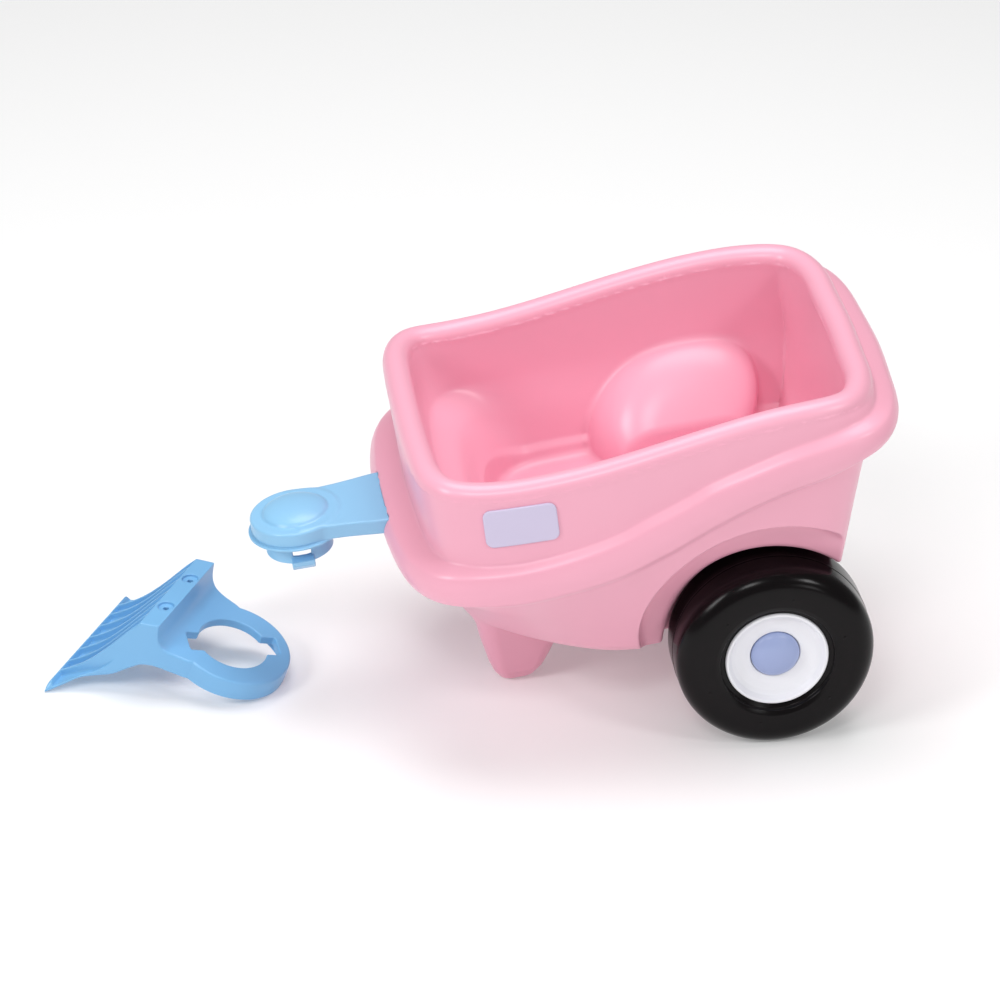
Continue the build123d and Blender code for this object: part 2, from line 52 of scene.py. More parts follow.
# look: colours (linear) and light
PINK = (0.87, 0.405, 0.525)
# the tongue and the bracket are one blue plastic; these two are lit and shaded copies of it: painted light on the
# tongue, painted shade on the bracket
BLUE_PAINTED_LIT = (0.27, 0.545, 0.80)
BLUE_PAINTED_SHADE = (0.19, 0.455, 0.755)
BLACK = (0.004, 0.003, 0.0034)
FLOOR_C, GLOW, WORLD = 0.80, 0.19, 0.26
LIGHTS = [
    ("key", (-0.9, -2.9, 3.4), (0.0, 0.0, 0.15), 1.0, 0.8, 32.0),
    ("overhead", (0.2, 0.3, 2.8), (0.0, 0.0, 0.0), 2.2, 1.6, 50.0),
    ("left", (-2.5, -1.3, 2.0), (0.0, 0.0, 0.2), 1.1, 1.1, 38.0),
    ("right", (2.2, -2.2, 2.4), (0.1, 0.0, 0.15), 0.7, 0.7, 22.0),
    ("right_front", (1.7, -3.0, 0.9), (0.1, 0.0, 0.15), 0.6, 0.6, 4.0),
]

# ---------------------------------------------------------------------------
# placing: the trailer frame "T" (millimetres, origin at the axle's centre) and
# the bracket frame "B", both as in the CAD
# ---------------------------------------------------------------------------
lo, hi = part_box("axle_rod")
AXLE = np.array([(lo[0] + hi[0]) / 2, 0.0, (lo[2] + hi[2]) / 2]) * 1000.0
PITCH = math.radians(7.05)
CP, SP = math.cos(PITCH), math.sin(PITCH)
T_ROT = np.array([[CP, 0, -SP], [0, 1, 0], [SP, 0, CP]])       # columns: T axes in the row frame


def t_to_row(p):
    return (p @ T_ROT.T + AXLE) * 0.001


BT, BI = math.radians(-29.84), math.radians(19.53)
B_V = np.array([math.cos(BT) * math.cos(BI), math.sin(BT) * math.cos(BI), -math.sin(BI)])
B_U = np.array([-math.sin(BT), math.cos(BT), 0.0])
B_W = np.array([math.cos(BT) * math.sin(BI), math.sin(BT) * math.sin(BI), math.cos(BI)])
B_ROT = np.stack([B_V, B_U, B_W], 1)
B_POS = np.array([AXLE[0] - 465.84, 28.0, 37.5])


def b_to_row(p):
    return (p @ B_ROT.T + B_POS) * 0.001


# ---------------------------------------------------------------------------
# implicit surfaces
# ---------------------------------------------------------------------------
def smin(a, b, k):
    h = np.maximum(k - np.abs(a - b), 0.0) / k
    return np.minimum(a, b) - h * h * (k * 0.25)


def smax(a, b, k):
    return -smin(-a, -b, k)


def rbox2(dx, dy, r):
    """Rounded corner between two slabs whose signed distances are dx and dy."""
    ax, ay = dx + r, dy + r
    return np.sqrt(np.maximum(ax, 0) ** 2 + np.maximum(ay, 0) ** 2) + np.minimum(np.maximum(ax, ay), 0) - r


def rbox3(dx, dy, dz, r):
    ax, ay, az = dx + r, dy + r, dz + r
    out = np.sqrt(np.maximum(ax, 0) ** 2 + np.maximum(ay, 0) ** 2 + np.maximum(az, 0) ** 2)
    return out + np.minimum(np.maximum(ax, np.maximum(ay, az)), 0) - r


def poly_sdf(px, py, pts):
    """Signed distance to a closed polygon, negative inside."""
    pts = np.asarray(pts, np.float32)
    d = np.full(px.shape, 1e12, np.float32)
    s = np.ones(px.shape, np.float32)
    n = len(pts)
    j = n - 1
    for i in range(n):
        ex, ey = pts[j, 0] - pts[i, 0], pts[j, 1] - pts[i, 1]
        wx, wy = px - pts[i, 0], py - pts[i, 1]
        t = np.clip((wx * ex + wy * ey) / max(1e-12, ex * ex + ey * ey), 0, 1)
        bx, by = wx - ex * t, wy - ey * t
        d = np.minimum(d, bx * bx + by * by)
        c1, c2, c3 = py >= pts[i, 1], py < pts[j, 1], ex * wy > ey * wx
        flip = (c1 & c2 & c3) | (~c1 & ~c2 & ~c3)
        s = np.where(flip, -s, s)
        j = i
    return s * np.sqrt(d)


def curve(pts, n=6, closed=False):
    """Catmull-Rom points through pts."""
    p = np.array(pts, float)
    m = len(p)
    out = []
    for i in range(m if closed else m - 1):
        p0 = p[(i - 1) % m] if closed else p[max(i - 1, 0)]
        p1, p2 = p[i], p[(i + 1) % m]
        p3 = p[(i + 2) % m] if closed else p[min(i + 2, m - 1)]
        for k in range(n):
            t = k / n
            out.append(0.5 * (2 * p1 + (p2 - p0) * t + (2 * p0 - 5 * p1 + 4 * p2 - p3) * t * t
                              + (3 * p1 - p0 - 3 * p2 + p3) * t ** 3))
    if not closed:
        out.append(p[-1])
    return [tuple(q) for q in out]


def sample_grid(F, lo, hi, h, blk=4, slack=1.7, half=False):
    """Values of F on a grid, exact near its surface and just signed elsewhere. With half, y runs from lo to 0 and
    is mirrored."""
    lo = np.array(lo, float)
    n = np.ceil((np.array(hi, float) - lo) / h).astype(int) + 1
    if half:
        ny = int(math.ceil(-lo[1] / h)) + 1
        lo[1] = -(ny - 1) * h
        n[1] = ny
    nb = -(-n // blk)
    ax = [lo[i] + (np.arange(nb[i]) + 0.5) * blk * h - 0.5 * h for i in range(3)]
    cx, cy, cz = np.meshgrid(*ax, indexing="ij")
    c = np.stack([cx.ravel(), cy.ravel(), cz.ravel()], 1).astype(np.float32)
    fc = np.concatenate([F(c[i:i + 400000]) for i in range(0, len(c), 400000)])
    near = np.abs(fc) < slack * blk * h * 0.87
    full = nb * blk
    G = np.where(fc > 0, np.float32(50), np.float32(-50)).reshape(nb).repeat(blk, 0).repeat(blk, 1).repeat(blk, 2)
    ids = np.nonzero(near)[0]
    bi = np.stack(np.unravel_index(ids, tuple(nb)), 1) * blk
    off = np.stack(np.meshgrid(*[np.arange(blk)] * 3, indexing="ij"), -1).reshape(-1, 3)
    step = max(1, 400000 // blk ** 3)
    for i in range(0, len(bi), step):
        ijk = (bi[i:i + step, None, :] + off[None]).reshape(-1, 3)
        p = (lo + ijk * h).astype(np.float32)
        G[ijk[:, 0], ijk[:, 1], ijk[:, 2]] = F(p)
    G = G[:n[0], :n[1], :n[2]]
    if half:
        G = np.concatenate([G, G[:, -2::-1, :]], 1)
    return G, lo


def surface_net(G, lo, h):
    """Vertices and quads of the zero surface of a sampled field."""
    neg = G < 0
    nx, ny, nz = G.shape
    c = neg[:-1, :-1, :-1].astype(np.int8)
    for dx in (0, 1):
        for dy in (0, 1):
            for dz in (0, 1):
                if dx or dy or dz:
                    c = c + neg[dx:nx - 1 + dx, dy:ny - 1 + dy, dz:nz - 1 + dz]
    act = (c > 0) & (c < 8)
    idx = np.full(act.shape, -1, np.int32)
    cells = np.argwhere(act)
    idx[act] = np.arange(len(cells), dtype=np.int32)
    corners = [(a, b, d) for a in (0, 1) for b in (0, 1) for d in (0, 1)]
    val = np.stack([G[cells[:, 0] + a, cells[:, 1] + b, cells[:, 2] + d] for a, b, d in corners], 1)
    acc = np.zeros((len(cells), 3))
    cnt = np.zeros(len(cells))
    for i, ci in enumerate(corners):
        for k in range(3):
            if ci[k] == 0:
                cj = list(ci)
                cj[k] = 1
                j = corners.index(tuple(cj))
                a, b = val[:, i], val[:, j]
                m = (a < 0) != (b < 0)
                t = np.where(m, a / np.where(m, a - b, 1), 0)
                pt = np.zeros((len(cells), 3))
                pt[:] = ci
                pt[:, k] = t
                acc += np.where(m[:, None], pt, 0)
                cnt += m
    v = lo + (cells + acc / cnt[:, None]) * h
    quads = []
    for k in range(3):
        a = [slice(1, -1)] * 3
        b = [slice(1, -1)] * 3
        a[k] = slice(0, -1)
        b[k] = slice(1, None)
        A, B = neg[tuple(a)], neg[tuple(b)]
        for outward in (True, False):
            m = (A & ~B) if outward else (~A & B)
            e = np.argwhere(m)
            o = np.ones(3, int)
            o[k] = 0
            e = e + o
            u, w = [(1, 2), (2, 0), (0, 1)][k]
            du, dw = np.zeros(3, int), np.zeros(3, int)
            du[u], dw[w] = 1, 1
            q = [e - du - dw, e - dw, e, e - du]
            q = np.stack([idx[t[:, 0], t[:, 1], t[:, 2]] for t in q], 1)
            quads.append(q if outward else q[:, ::-1])
    q = np.concatenate(quads)
    q = q[(q >= 0).all(1)]
    return v, q


def gradient(F, v, e=0.4):
    g = np.zeros((len(v), 3))
    for i in range(0, len(v), 300000):
        p = v[i:i + 300000]
        for k in range(3):
            d = np.zeros(3)
            d[k] = e
            g[i:i + 300000, k] = (F((p + d).astype(np.float64)) - F((p - d).astype(np.float64))) / (2 * e)
    return g


def project(F, v, steps=2, cap=1.0):
    for _ in range(steps):
        f = np.concatenate([F(v[i:i + 300000]) for i in range(0, len(v), 300000)])
        g = gradient(F, v)
        gg = (g * g).sum(1)
        d = g * (f / np.maximum(gg, 0.05))[:, None]
        L = np.linalg.norm(d, axis=1)
        d *= np.minimum(1, cap / np.maximum(L, 1e-9))[:, None]
        v = v - d
    return v


def add_mesh(name, v, faces, normals=None, smooth=True):
    """faces: (n, 3|4) int array or list of lists."""
    me = bpy.data.meshes.new(name)
    if isinstance(faces, np.ndarray):
        k = faces.shape[1]
        me.vertices.add(len(v))
        me.vertices.foreach_set("co", np.asarray(v, np.float32).ravel())
        me.loops.add(faces.size)
        me.loops.foreach_set("vertex_index", faces.astype(np.int32).ravel())
        me.polygons.add(len(faces))
        me.polygons.foreach_set("loop_start", np.arange(0, faces.size, k, dtype=np.int32))
        me.polygons.foreach_set("loop_total", np.full(len(faces), k, np.int32))
        me.update(calc_edges=True)
    else:
        me.from_pydata([tuple(p) for p in v], [], [tuple(f) for f in faces])
    me.validate()
    ob = bpy.data.objects.new(name, me)
    bpy.context.scene.collection.objects.link(ob)
    if smooth:
        me.polygons.foreach_set("use_smooth", np.ones(len(me.polygons), bool))
    if normals is not None:
        me.normals_split_custom_set_from_vertices(normals.tolist() if isinstance(normals, np.ndarray) else normals)
    me.update()
    return ob


def implicit_piece(name, F, lo, hi, h, to_row, rot, most, half=False):
    """Meshes F, thins the mesh to at most `most` triangles, and gives it the field's own normals."""
    G, lo = sample_grid(F, lo, hi, h, half=half)
    v, q = surface_net(G, lo, h)
    v = project(F, v, 2, cap=h)
    say(name, "net", len(v), len(q))
    if 2 * len(q) > most:
        ob = add_mesh(name + "_tmp", v * 0.001, q)
        m = ob.modifiers.new("thin", "DECIMATE")
        m.ratio = most / (2 * len(q)) * 0.99
        dg = bpy.context.evaluated_depsgraph_get()
        me = bpy.data.meshes.new_from_object(ob.evaluated_get(dg))
        v = np.zeros(len(me.vertices) * 3, np.float32)
        me.vertices.foreach_get("co", v)
        v = v.reshape(-1, 3).astype(float) * 1000
        me.calc_loop_triangles()
        q = np.zeros(len(me.loop_triangles) * 3, np.int32)
        me.loop_triangles.foreach_get("vertices", q)
        q = q.reshape(-1, 3)
        bpy.data.objects.remove(ob)
        bpy.data.meshes.remove(me)
        v = project(F, v, 1, cap=0.3)
        say(name, "thinned", len(v), len(q))
    g = gradient(F, v, 0.5)
    g /= np.maximum(np.linalg.norm(g, axis=1), 1e-9)[:, None]
    return add_mesh(name, to_row(v), q, g @ rot.T)


# ---------------------------------------------------------------------------
# the tub
# ---------------------------------------------------------------------------
LIP_R, UNDER_Z, FLOOR_Z = 12.0, 8.0, 80.0
ARCH_X, ARCH_Z, ARCH_R = -7.6, 31.1, 108.7
WELL_R, WELL_Y = 94.0, 84.5
RIM = [(-283, 0, 223.5), (-282.6, 45, 223.5), (-281, 88, 223.2), (-276, 120, 222), (-264, 139, 220),
       (-240, 147.6, 216.5), (-188, 152.3, 215.3), (-138, 155, 219.6), (-88, 155.9, 226.7),
       (-37, 155, 233.8), (13, 152.3, 238.6), (60, 147.5, 238.6), (88, 137, 236.6), (102, 112, 235.6),
       (106.5, 62, 235.2), (108, 0, 235)]
UPPER_CREASE_Z = [(-325, 160), (-270, 157), (-240, 154.5), (-208, 154), (-167, 159), (-126, 169), (-98, 180),
                  (-63, 193), (-42, 202), (-6, 211), (30, 219), (66, 223), (94, 226), (125, 227)]
LOWER_CREASE_Z = [(-325, 112), (-254, 110.5), (-213, 110), (-172, 114), (-131, 121), (-89, 135), (-46, 153),
                  (-10, 166), (26, 175), (62, 181), (98, 190), (125, 192)]
UPPER_CREASE = [(-293, 0), (-292, 45), (-290, 88), (-285, 122), (-272, 148), (-244, 161), (-190, 166.5),
                (-138, 169), (-88, 169.5), (-37, 169), (13, 167), (66, 161.5), (100, 149), (115, 118),
                (119, 62), (120.5, 0)]
BAND = [(-322, 0), (-321, 48), (-317, 92), (-308, 130), (-289, 157), (-252, 172), (-196, 177),
        (-140, 179), (-88, 179.5), (-37, 179), (15, 177.5), (72, 172.5), (112, 160), (132, 126),
        (140, 64), (142.5, 0)]
LOWER_CREASE = [(-305, 0), (-303, 42), (-299, 82), (-289, 117), (-270, 144), (-240, 159.5), (-196, 166),
                (-142, 168.5), (-89, 169), (-40, 168.5), (10, 166.5), (58, 162), (92, 149), (105, 116),
                (110, 60), (111.5, 0)]
LOWER_MID = [(-281, 0), (-277, 30), (-265, 58), (-245, 86), (-214, 112), (-176, 130), (-140, 138),
             (-105, 141), (-70, 142), (-35, 142), (5, 140.5), (45, 135), (66, 122), (74, 96),
             (78, 50), (79, 0)]
BOTTOM = [(-253, 0), (-246.5, 18), (-229, 40), (-205, 64), (-173, 90), (-138, 109.5), (-108, 116),
          (-80, 118), (-50, 118.5), (-20, 118), (12, 116), (42, 110), (59, 97), (66, 76),
          (69.5, 40), (70, 0)]
# inside, each as a side run and a tail run that meet in a corner
INNER_MID = ([(-264, 0), (-263, 44), (-260, 84), (-252, 114), (-236, 131), (-210, 138.5), (-170, 141),
              (-125, 142), (-80, 142), (-38, 141), (5, 140), (36, 139.5), (60, 138), (79, 136.5)],
             [(79, 136.5), (84.5, 110), (87.2, 60), (88.5, 0)])
INNER_LOW = ([(-240, 0), (-238.5, 40), (-234, 76), (-224, 105), (-206, 124), (-182, 132), (-150, 134),
              (-112, 135), (-75, 135), (-38, 134), (2, 133.2), (32, 132.6), (54, 132), (72.5, 131.5)],
             [(72.5, 131.5), (78.0, 105), (81.2, 58), (82.5, 0)])
LEDGE = ([(-226, 0), (-224.5, 38), (-219, 72), (-208, 100), (-190, 120), (-168, 128.5), (-140, 131),
          (-106, 132), (-72, 132), (-38, 131), (0, 129.5), (28, 128.2), (48, 127), (65.5, 126)],
         [(65.5, 126), (71.0, 99), (75.0, 54), (76, 0)])
LEDGE_Z = [(-240, 122), (-215, 117), (-190, 104), (-170, 98), (80, 97)]


def smooth_table(tab, x):
    t = np.array(tab, float)
    xs, zs = t[:, 0], t[:, 1]
    d = np.zeros(len(xs))
    d[1:-1] = (zs[2:] - zs[:-2]) / (xs[2:] - xs[:-2])
    d[0] = (zs[1] - zs[0]) / (xs[1] - xs[0])
    d[-1] = (zs[-1] - zs[-2]) / (xs[-1] - xs[-2])
    x = np.clip(x, xs[0], xs[-1])
    i = np.clip(np.searchsorted(xs, x, "right") - 1, 0, len(xs) - 2)
    h = xs[i + 1] - xs[i]
    t = (x - xs[i]) / h
    return ((2 * t**3 - 3 * t**2 + 1) * zs[i] + (t**3 - 2 * t**2 + t) * h * d[i]
            + (-2 * t**3 + 3 * t**2) * zs[i + 1] + (t**3 - t**2) * h * d[i + 1])


def periodic_spline(P, n):
    """n points for each span of the smooth closed curve through P."""
    P = np.array(P, float)
    m = len(P)
    L = np.linalg.norm(np.roll(P, -1, 0) - P, axis=1)
    A = np.zeros((m, m))
    R = np.zeros((m, P.shape[1]))
    for i in range(m):
        a, b = L[i - 1], L[i]
        A[i, i - 1] += b
        A[i, i] += 2 * (a + b)
        A[i, (i + 1) % m] += a
        R[i] = 3 * (b * (P[i] - P[i - 1]) / a + a * (P[(i + 1) % m] - P[i]) / b)
    D = np.linalg.solve(A, R)
    out = []
    t = (np.arange(n) / n)[:, None]
    for i in range(m):
        j = (i + 1) % m
        out.append((2 * t**3 - 3 * t**2 + 1) * P[i] + (t**3 - 2 * t**2 + t) * L[i] * D[i]
                   + (-2 * t**3 + 3 * t**2) * P[j] + (t**3 - t**2) * L[i] * D[j])
    return np.concatenate(out)


def dense_half(plan, n=40):
    """The near half of a loop, densely: columns x, |y| and, where given, z."""
    P = [list(p) for p in plan]
    full = P + [[p[0], -p[1]] + p[2:] for p in P[1:-1]][::-1]
    return periodic_spline(full, n)[:(len(P) - 1) * n + 1]


def grow(half, d):
    g = np.gradient(half[:, :2], axis=0)
    g /= np.linalg.norm(g, axis=1)[:, None]
    o = half.copy()
    o[:, 0] += -g[:, 1] * d
    o[:, 1] += g[:, 0] * d
    return o


def open_spline(P, n):
    """Smooth open curve through P, n points a span."""
    P = np.array(P, float)
    m = len(P)
    L = np.linalg.norm(np.diff(P, axis=0), axis=1)
    A = np.zeros((m, m))
    R = np.zeros(P.shape)
    for i in range(1, m - 1):
        A[i, i - 1], A[i, i], A[i, i + 1] = L[i], 2 * (L[i - 1] + L[i]), L[i - 1]
        R[i] = 3 * (L[i] * (P[i] - P[i - 1]) / L[i - 1] + L[i - 1] * (P[i + 1] - P[i]) / L[i])
    A[0, 0], A[0, 1], R[0] = 2, 1, 3 * (P[1] - P[0]) / L[0]
    A[-1, -1], A[-1, -2], R[-1] = 2, 1, 3 * (P[-1] - P[-2]) / L[-1]
    D = np.linalg.solve(A, R)
    t = (np.arange(n) / n)[:, None]
    out = [(2 * t**3 - 3 * t**2 + 1) * P[i] + (t**3 - 2 * t**2 + t) * L[i] * D[i]
           + (-2 * t**3 + 3 * t**2) * P[i + 1] + (t**3 - t**2) * L[i] * D[i + 1] for i in range(m - 1)]
    return np.concatenate(out + [P[-1:]])


def dense_split(pair, n=40):
    side, tail = pair
    a = [(x, -y) for x, y in side[:0:-1]] + side
    a = open_spline(a, n)[(len(side) - 1) * n:]
    b = tail + [(x, -y) for x, y in tail[-2::-1]]
    b = open_spline(b, n)[:(len(tail) - 1) * n + 1]
    return np.concatenate([a, b[1:]])


XA, XB = -190.0, -10.0
S_N, Z_N, Z_STEP, Z_LO = 1501, 560, 0.5, -8.0


def s_of(x, ay):
    """Place round the tub (0 front, 3 rear) and distance from its spine."""
    f = x < XA
    r = x > XB
    dx = np.where(f, XA - x, np.where(r, x - XB, 0.0))
    rho = np.sqrt(dx * dx + ay * ay)
    ang = np.arctan2(ay, np.maximum(dx, 1e-9)) * (2 / math.pi)
    s = np.where(f, ang, np.where(r, 3.0 - ang, 1.0 + (x - XA) / (XB - XA)))
    return s, rho


S_GRID = np.linspace(0, 3, S_N)


def on_grid(half):
    """rho (and the other columns) of a dense half loop as tables over s."""
    s, rho = s_of(half[:, 0], np.maximum(half[:, 1], 0))
    o = np.argsort(s, kind="stable")
    res = [np.interp(S_GRID, s[o], rho[o])]
    for k in range(2, half.shape[1]):
        res.append(np.interp(S_GRID, s[o], half[o, k]))
    res.append(np.interp(S_GRID, s[o], half[o, 0]))
    return res


def pchip(xk, yk, x):
    """Shape-keeping cubic through rows of knots; xk, yk are (S, K), x is (Z,)."""
    S, K = xk.shape
    h = np.diff(xk, axis=1)
    dl = np.diff(yk, axis=1) / h
    d = np.zeros_like(yk)
    for k in range(1, K - 1):
        w1, w2 = 2 * h[:, k] + h[:, k - 1], h[:, k] + 2 * h[:, k - 1]
        a, b = dl[:, k - 1], dl[:, k]
        ok = a * b > 0
        d[:, k] = np.where(ok, (w1 + w2) / (w1 / np.where(ok, a, 1) + w2 / np.where(ok, b, 1)), 0)
    d[:, 0], d[:, -1] = dl[:, 0], dl[:, -1]
    out = np.empty((S, len(x)))
    for i in range(S):
        k = np.clip(np.searchsorted(xk[i], x, "right") - 1, 0, K - 2)
        hh = h[i, k]
        t = (x - xk[i, k]) / hh
        y = ((2 * t**3 - 3 * t**2 + 1) * yk[i, k] + (t**3 - 2 * t**2 + t) * hh * d[i, k]
             + (-2 * t**3 + 3 * t**2) * yk[i, k + 1] + (t**3 - t**2) * hh * d[i, k + 1])
        y = np.where(x < xk[i, 0], yk[i, 0] + d[i, 0] * (x - xk[i, 0]), y)
        y = np.where(x > xk[i, -1], yk[i, -1], y)
        out[i] = y
    return out


def blur_z(t, sigma):
    r = int(math.ceil(3 * sigma / Z_STEP))
    k = np.exp(-0.5 * (np.arange(-r, r + 1) * Z_STEP / sigma) ** 2)
    k /= k.sum()
    p = np.pad(t, ((0, 0), (r, r)), mode="edge")
    return sum(k[i] * p[:, i:i + t.shape[1]] for i in range(2 * r + 1))


def tub_tables():
    Z = Z_LO + np.arange(Z_N) * Z_STEP
    bot, lm = on_grid(dense_half(BOTTOM)), on_grid(dense_half(LOWER_MID))
    lc, bd, uc = (on_grid(dense_half(q)) for q in (LOWER_CREASE, BAND, UPPER_CREASE))
    rim = dense_half(RIM)
    ro, ri, rc = on_grid(grow(rim, LIP_R)), on_grid(grow(rim, -LIP_R)), on_grid(rim)
    zl = smooth_table(LOWER_CREASE_Z, lc[-1])
    zu = smooth_table(UPPER_CREASE_Z, uc[-1])
    zb = 0.5 * (smooth_table(UPPER_CREASE_Z, bd[-1]) + smooth_table(LOWER_CREASE_Z, bd[-1])) - 1.0
    zr = rc[1]
    one = np.ones(S_N)
    # outside, in three stretches that meet in creases
    low = pchip(np.stack([UNDER_Z * one, 62 * one, zl], 1), np.stack([bot[0], lm[0], lc[0]], 1), Z)
    k1, k2 = 0.80, 0.42
    band = pchip(np.stack([zl, zl + (zb - zl) * k2, zb, zu + (zb - zu) * k2, zu], 1),
                 np.stack([lc[0], lc[0] + (bd[0] - lc[0]) * k1, bd[0], uc[0] + (bd[0] - uc[0]) * k1, uc[0]], 1), Z)
    ztop = np.maximum(zr, zu + 4)
    up = pchip(np.stack([zu, 0.5 * (zu + ztop), ztop], 1), np.stack([uc[0], 0.5 * (uc[0] + ro[0]) + 0.5, ro[0]], 1), Z)
    out = np.where(Z[None] < zl[:, None], low, np.where(Z[None] < zu[:, None], band, up))
    # inside
    im, il, le = (on_grid(dense_split(q)) for q in (INNER_MID, INNER_LOW, LEDGE))
    zle = smooth_table(LEDGE_Z, le[-1])
    zil = smooth_table(LEDGE_Z, il[-1]) + 24
    zil = np.maximum(zil, zle + 8)
    l5, l6, l12 = (le[0] - q for q in (5.0, 6.5, 12.0))
    wall = pchip(np.stack([zle, zil, 168 * one, zr], 1), np.stack([le[0], il[0], im[0], ri[0]], 1), Z)
    drop = pchip(np.stack([FLOOR_Z * one, (FLOOR_Z + 5) * one, zle - 6, zle], 1),
                 np.stack([l12 + 3, l6, l5, le[0]], 1), Z)
    inn = np.where(Z[None] < zle[:, None], drop, wall)
    inn = np.minimum(inn, np.where(Z[None] < zr[:, None] - 14, out - 5.0, inn))
    out, inn = blur_z(out, 1.1), blur_z(inn, 1.2)
    return dict(out=out, inn=inn, rc=(ro[0] + ri[0]) / 2, ra=(ro[0] - ri[0]) / 2, rz=zr)


TAB = tub_tables()
TAB["out_z"] = 1 / np.sqrt(1 + np.gradient(TAB["out"], Z_STEP, axis=1) ** 2)
TAB["inn_z"] = 1 / np.sqrt(1 + np.gradient(TAB["inn"], Z_STEP, axis=1) ** 2)
TAB = {k: v.astype(np.float32) for k, v in TAB.items()}
say("tables")


def look(tab, fi, ft, zi, zt):
    a = tab[fi, zi] * (1 - zt) + tab[fi, zi + 1] * zt
    b = tab[fi + 1, zi] * (1 - zt) + tab[fi + 1, zi + 1] * zt
    return a * (1 - ft) + b * ft


EC, ES = math.cos(math.radians(26.8)), math.sin(math.radians(26.8))      # tilt of the bulge's oval outline
FOOT = np.array([  # z, x0, x1, half width, corner radius
    (-61.3, -229.5, -210.5, 8.5, 7.0), (-58, -235.5, -202.5, 14.0, 10.5), (-50, -240, -194.5, 17.5, 12),
    (-38, -243.5, -187, 20.5, 14), (-10, -248.5, -172, 26, 16), (14, -251, -158, 31, 18), (40, -254, -144, 36, 20)])


def tub_field(p):
    x, y, z = p[:, 0], p[:, 1], p[:, 2]
    ay = np.abs(y)
    s, rho = s_of(x, ay)
    f = np.clip(s * ((S_N - 1) / 3), 0, S_N - 1.001)
    fi = f.astype(np.int32)
    ft = (f - fi).astype(p.dtype)
    g = np.clip((z - Z_LO) / Z_STEP, 0, Z_N - 1.001)
    zi = g.astype(np.int32)
    zt = (g - zi).astype(p.dtype)
    f_out = (rho - look(TAB["out"], fi, ft, zi, zt)) * look(TAB["out_z"], fi, ft, zi, zt)
    f_in = (look(TAB["inn"], fi, ft, zi, zt) - rho) * look(TAB["inn_z"], fi, ft, zi, zt)
    rc = TAB["rc"][fi] * (1 - ft) + TAB["rc"][fi + 1] * ft
    ra = TAB["ra"][fi] * (1 - ft) + TAB["ra"][fi + 1] * ft
    rz = TAB["rz"][fi] * (1 - ft) + TAB["rz"][fi + 1] * ft
    # the floor and the housings and bulges over the wheels belong to the solid under the cavity
    cav = smax(-f_in, FLOOR_Z - z, 9.0)                 # inside of the cavity is negative
    t = np.clip((136.0 - ay) / 55.2, 0, 1.4)
    sc = np.sqrt(np.maximum(1 - (t / 1.45) ** 2, 0.03))
    ex, ez = x + 33.8 - 3 * t, z - 109.4 + 10 * t
    eu, ev = ex * EC + ez * ES, -ex * ES + ez * EC
    egg = (np.sqrt((eu / (85.5 * sc)) ** 2 + (ev / (58.5 * sc)) ** 2) - 1) * 52.0 * sc
    u = np.clip((ay - 80.8) / 55.2, 0, 1.3)
    slant = (z - 115.0 - 60.0 * (1 - np.abs(1 - u) ** 1.35 * np.sign(1 - u))) * 0.62
    dome = smax(smax(egg, slant, 16.0), 80.8 - ay, 3.0)
    r = np.sqrt(x * x + z * z)
    fl = np.clip((ay - 108.0) / 27.0, 0, 1)             # the well opens out towards the side
    r_well = np.minimum(r - WELL_R, np.sqrt((x + 9.0 * fl) ** 2 + (z - 9.0 * fl) ** 2) - (WELL_R + 4.0 * fl))
    cover = smax(r_well - 5.0, 80.8 - ay, 3.0)
    dome = smin(dome, cover, 6.0)
    cav = smax(cav, -dome, 5.0)
    wall = smax(f_out, -cav, 1.0)
    wall = np.maximum(wall, z - rz)
    rim = (np.sqrt(((rho - rc) / ra) ** 2 + ((z - rz) / LIP_R) ** 2) - 1) * LIP_R
    d = smin(wall, rim, 1.5)
    # underside
    d = smax(d, UNDER_Z - z, 15.0)
    # arch recess and wheel well
    rec = 104.0 + np.maximum(z - UNDER_Z, 0) * 0.30
    rec_d = (rec - ay) * 0.957
    arch = smax(np.sqrt((x - ARCH_X) ** 2 + (z - ARCH_Z) ** 2) - ARCH_R, rec_d, 9.0)
    d = smax(d, -arch, 1.6)
    well = smax(r_well * 0.95, WELL_Y - ay, 3.0)
    d = smax(d, -well, 4.0)
    # keel
    keel = rbox2(np.maximum(np.sqrt(x * x + np.minimum(z, 0) ** 2) - 15.0, np.where(z > 0, np.abs(x) - 15 - z * 0.8, -99)),
                 ay - WELL_Y, 1.5)
    keel = np.maximum(keel, z - 20)
    d = smin(d, keel, 4.0)
    # foot
    fx0 = np.interp(z, FOOT[:, 0], FOOT[:, 1])
    fx1 = np.interp(z, FOOT[:, 0], FOOT[:, 2])
    fh = np.interp(z, FOOT[:, 0], FOOT[:, 3])
    fr = np.interp(z, FOOT[:, 0], FOOT[:, 4])
    foot = rbox2(np.abs(x - (fx0 + fx1) / 2) - (fx1 - fx0) / 2, ay - fh, fr) * 0.93
    foot = smax(foot, -61.3 - z, 5.0)
    foot = np.maximum(foot, z - 40)
    d = smin(d, foot, 7.0)
    # tongue socket, bores and the two screw holes
    sock = rbox3(np.abs(x + 301) - 39, ay - 43.2, np.abs(z - 140.775) - 7.28, 1.0)
    d = smax(d, -sock, 1.0)
    bore = np.minimum(np.maximum(r - 5.8, ay - 90), np.maximum(r - 7.2, 66.5 - ay))
    d = np.maximum(d, -bore)
    hole = np.sqrt((x + 284) ** 2 + (ay - 22) ** 2)
    hole = np.minimum(np.maximum(hole - 5.0, z - 120), np.maximum(hole - 2.4, z - 136))
    d = np.maximum(d, -hole)
    return d


H_TUB = 1.8
tub = implicit_piece("tub_skin", tub_field, (-330, -186, -66), (150, 186, 256), H_TUB, t_to_row, T_ROT, 196000, half=True)
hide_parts("tub")
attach(tub, "trailer")
say("tub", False)


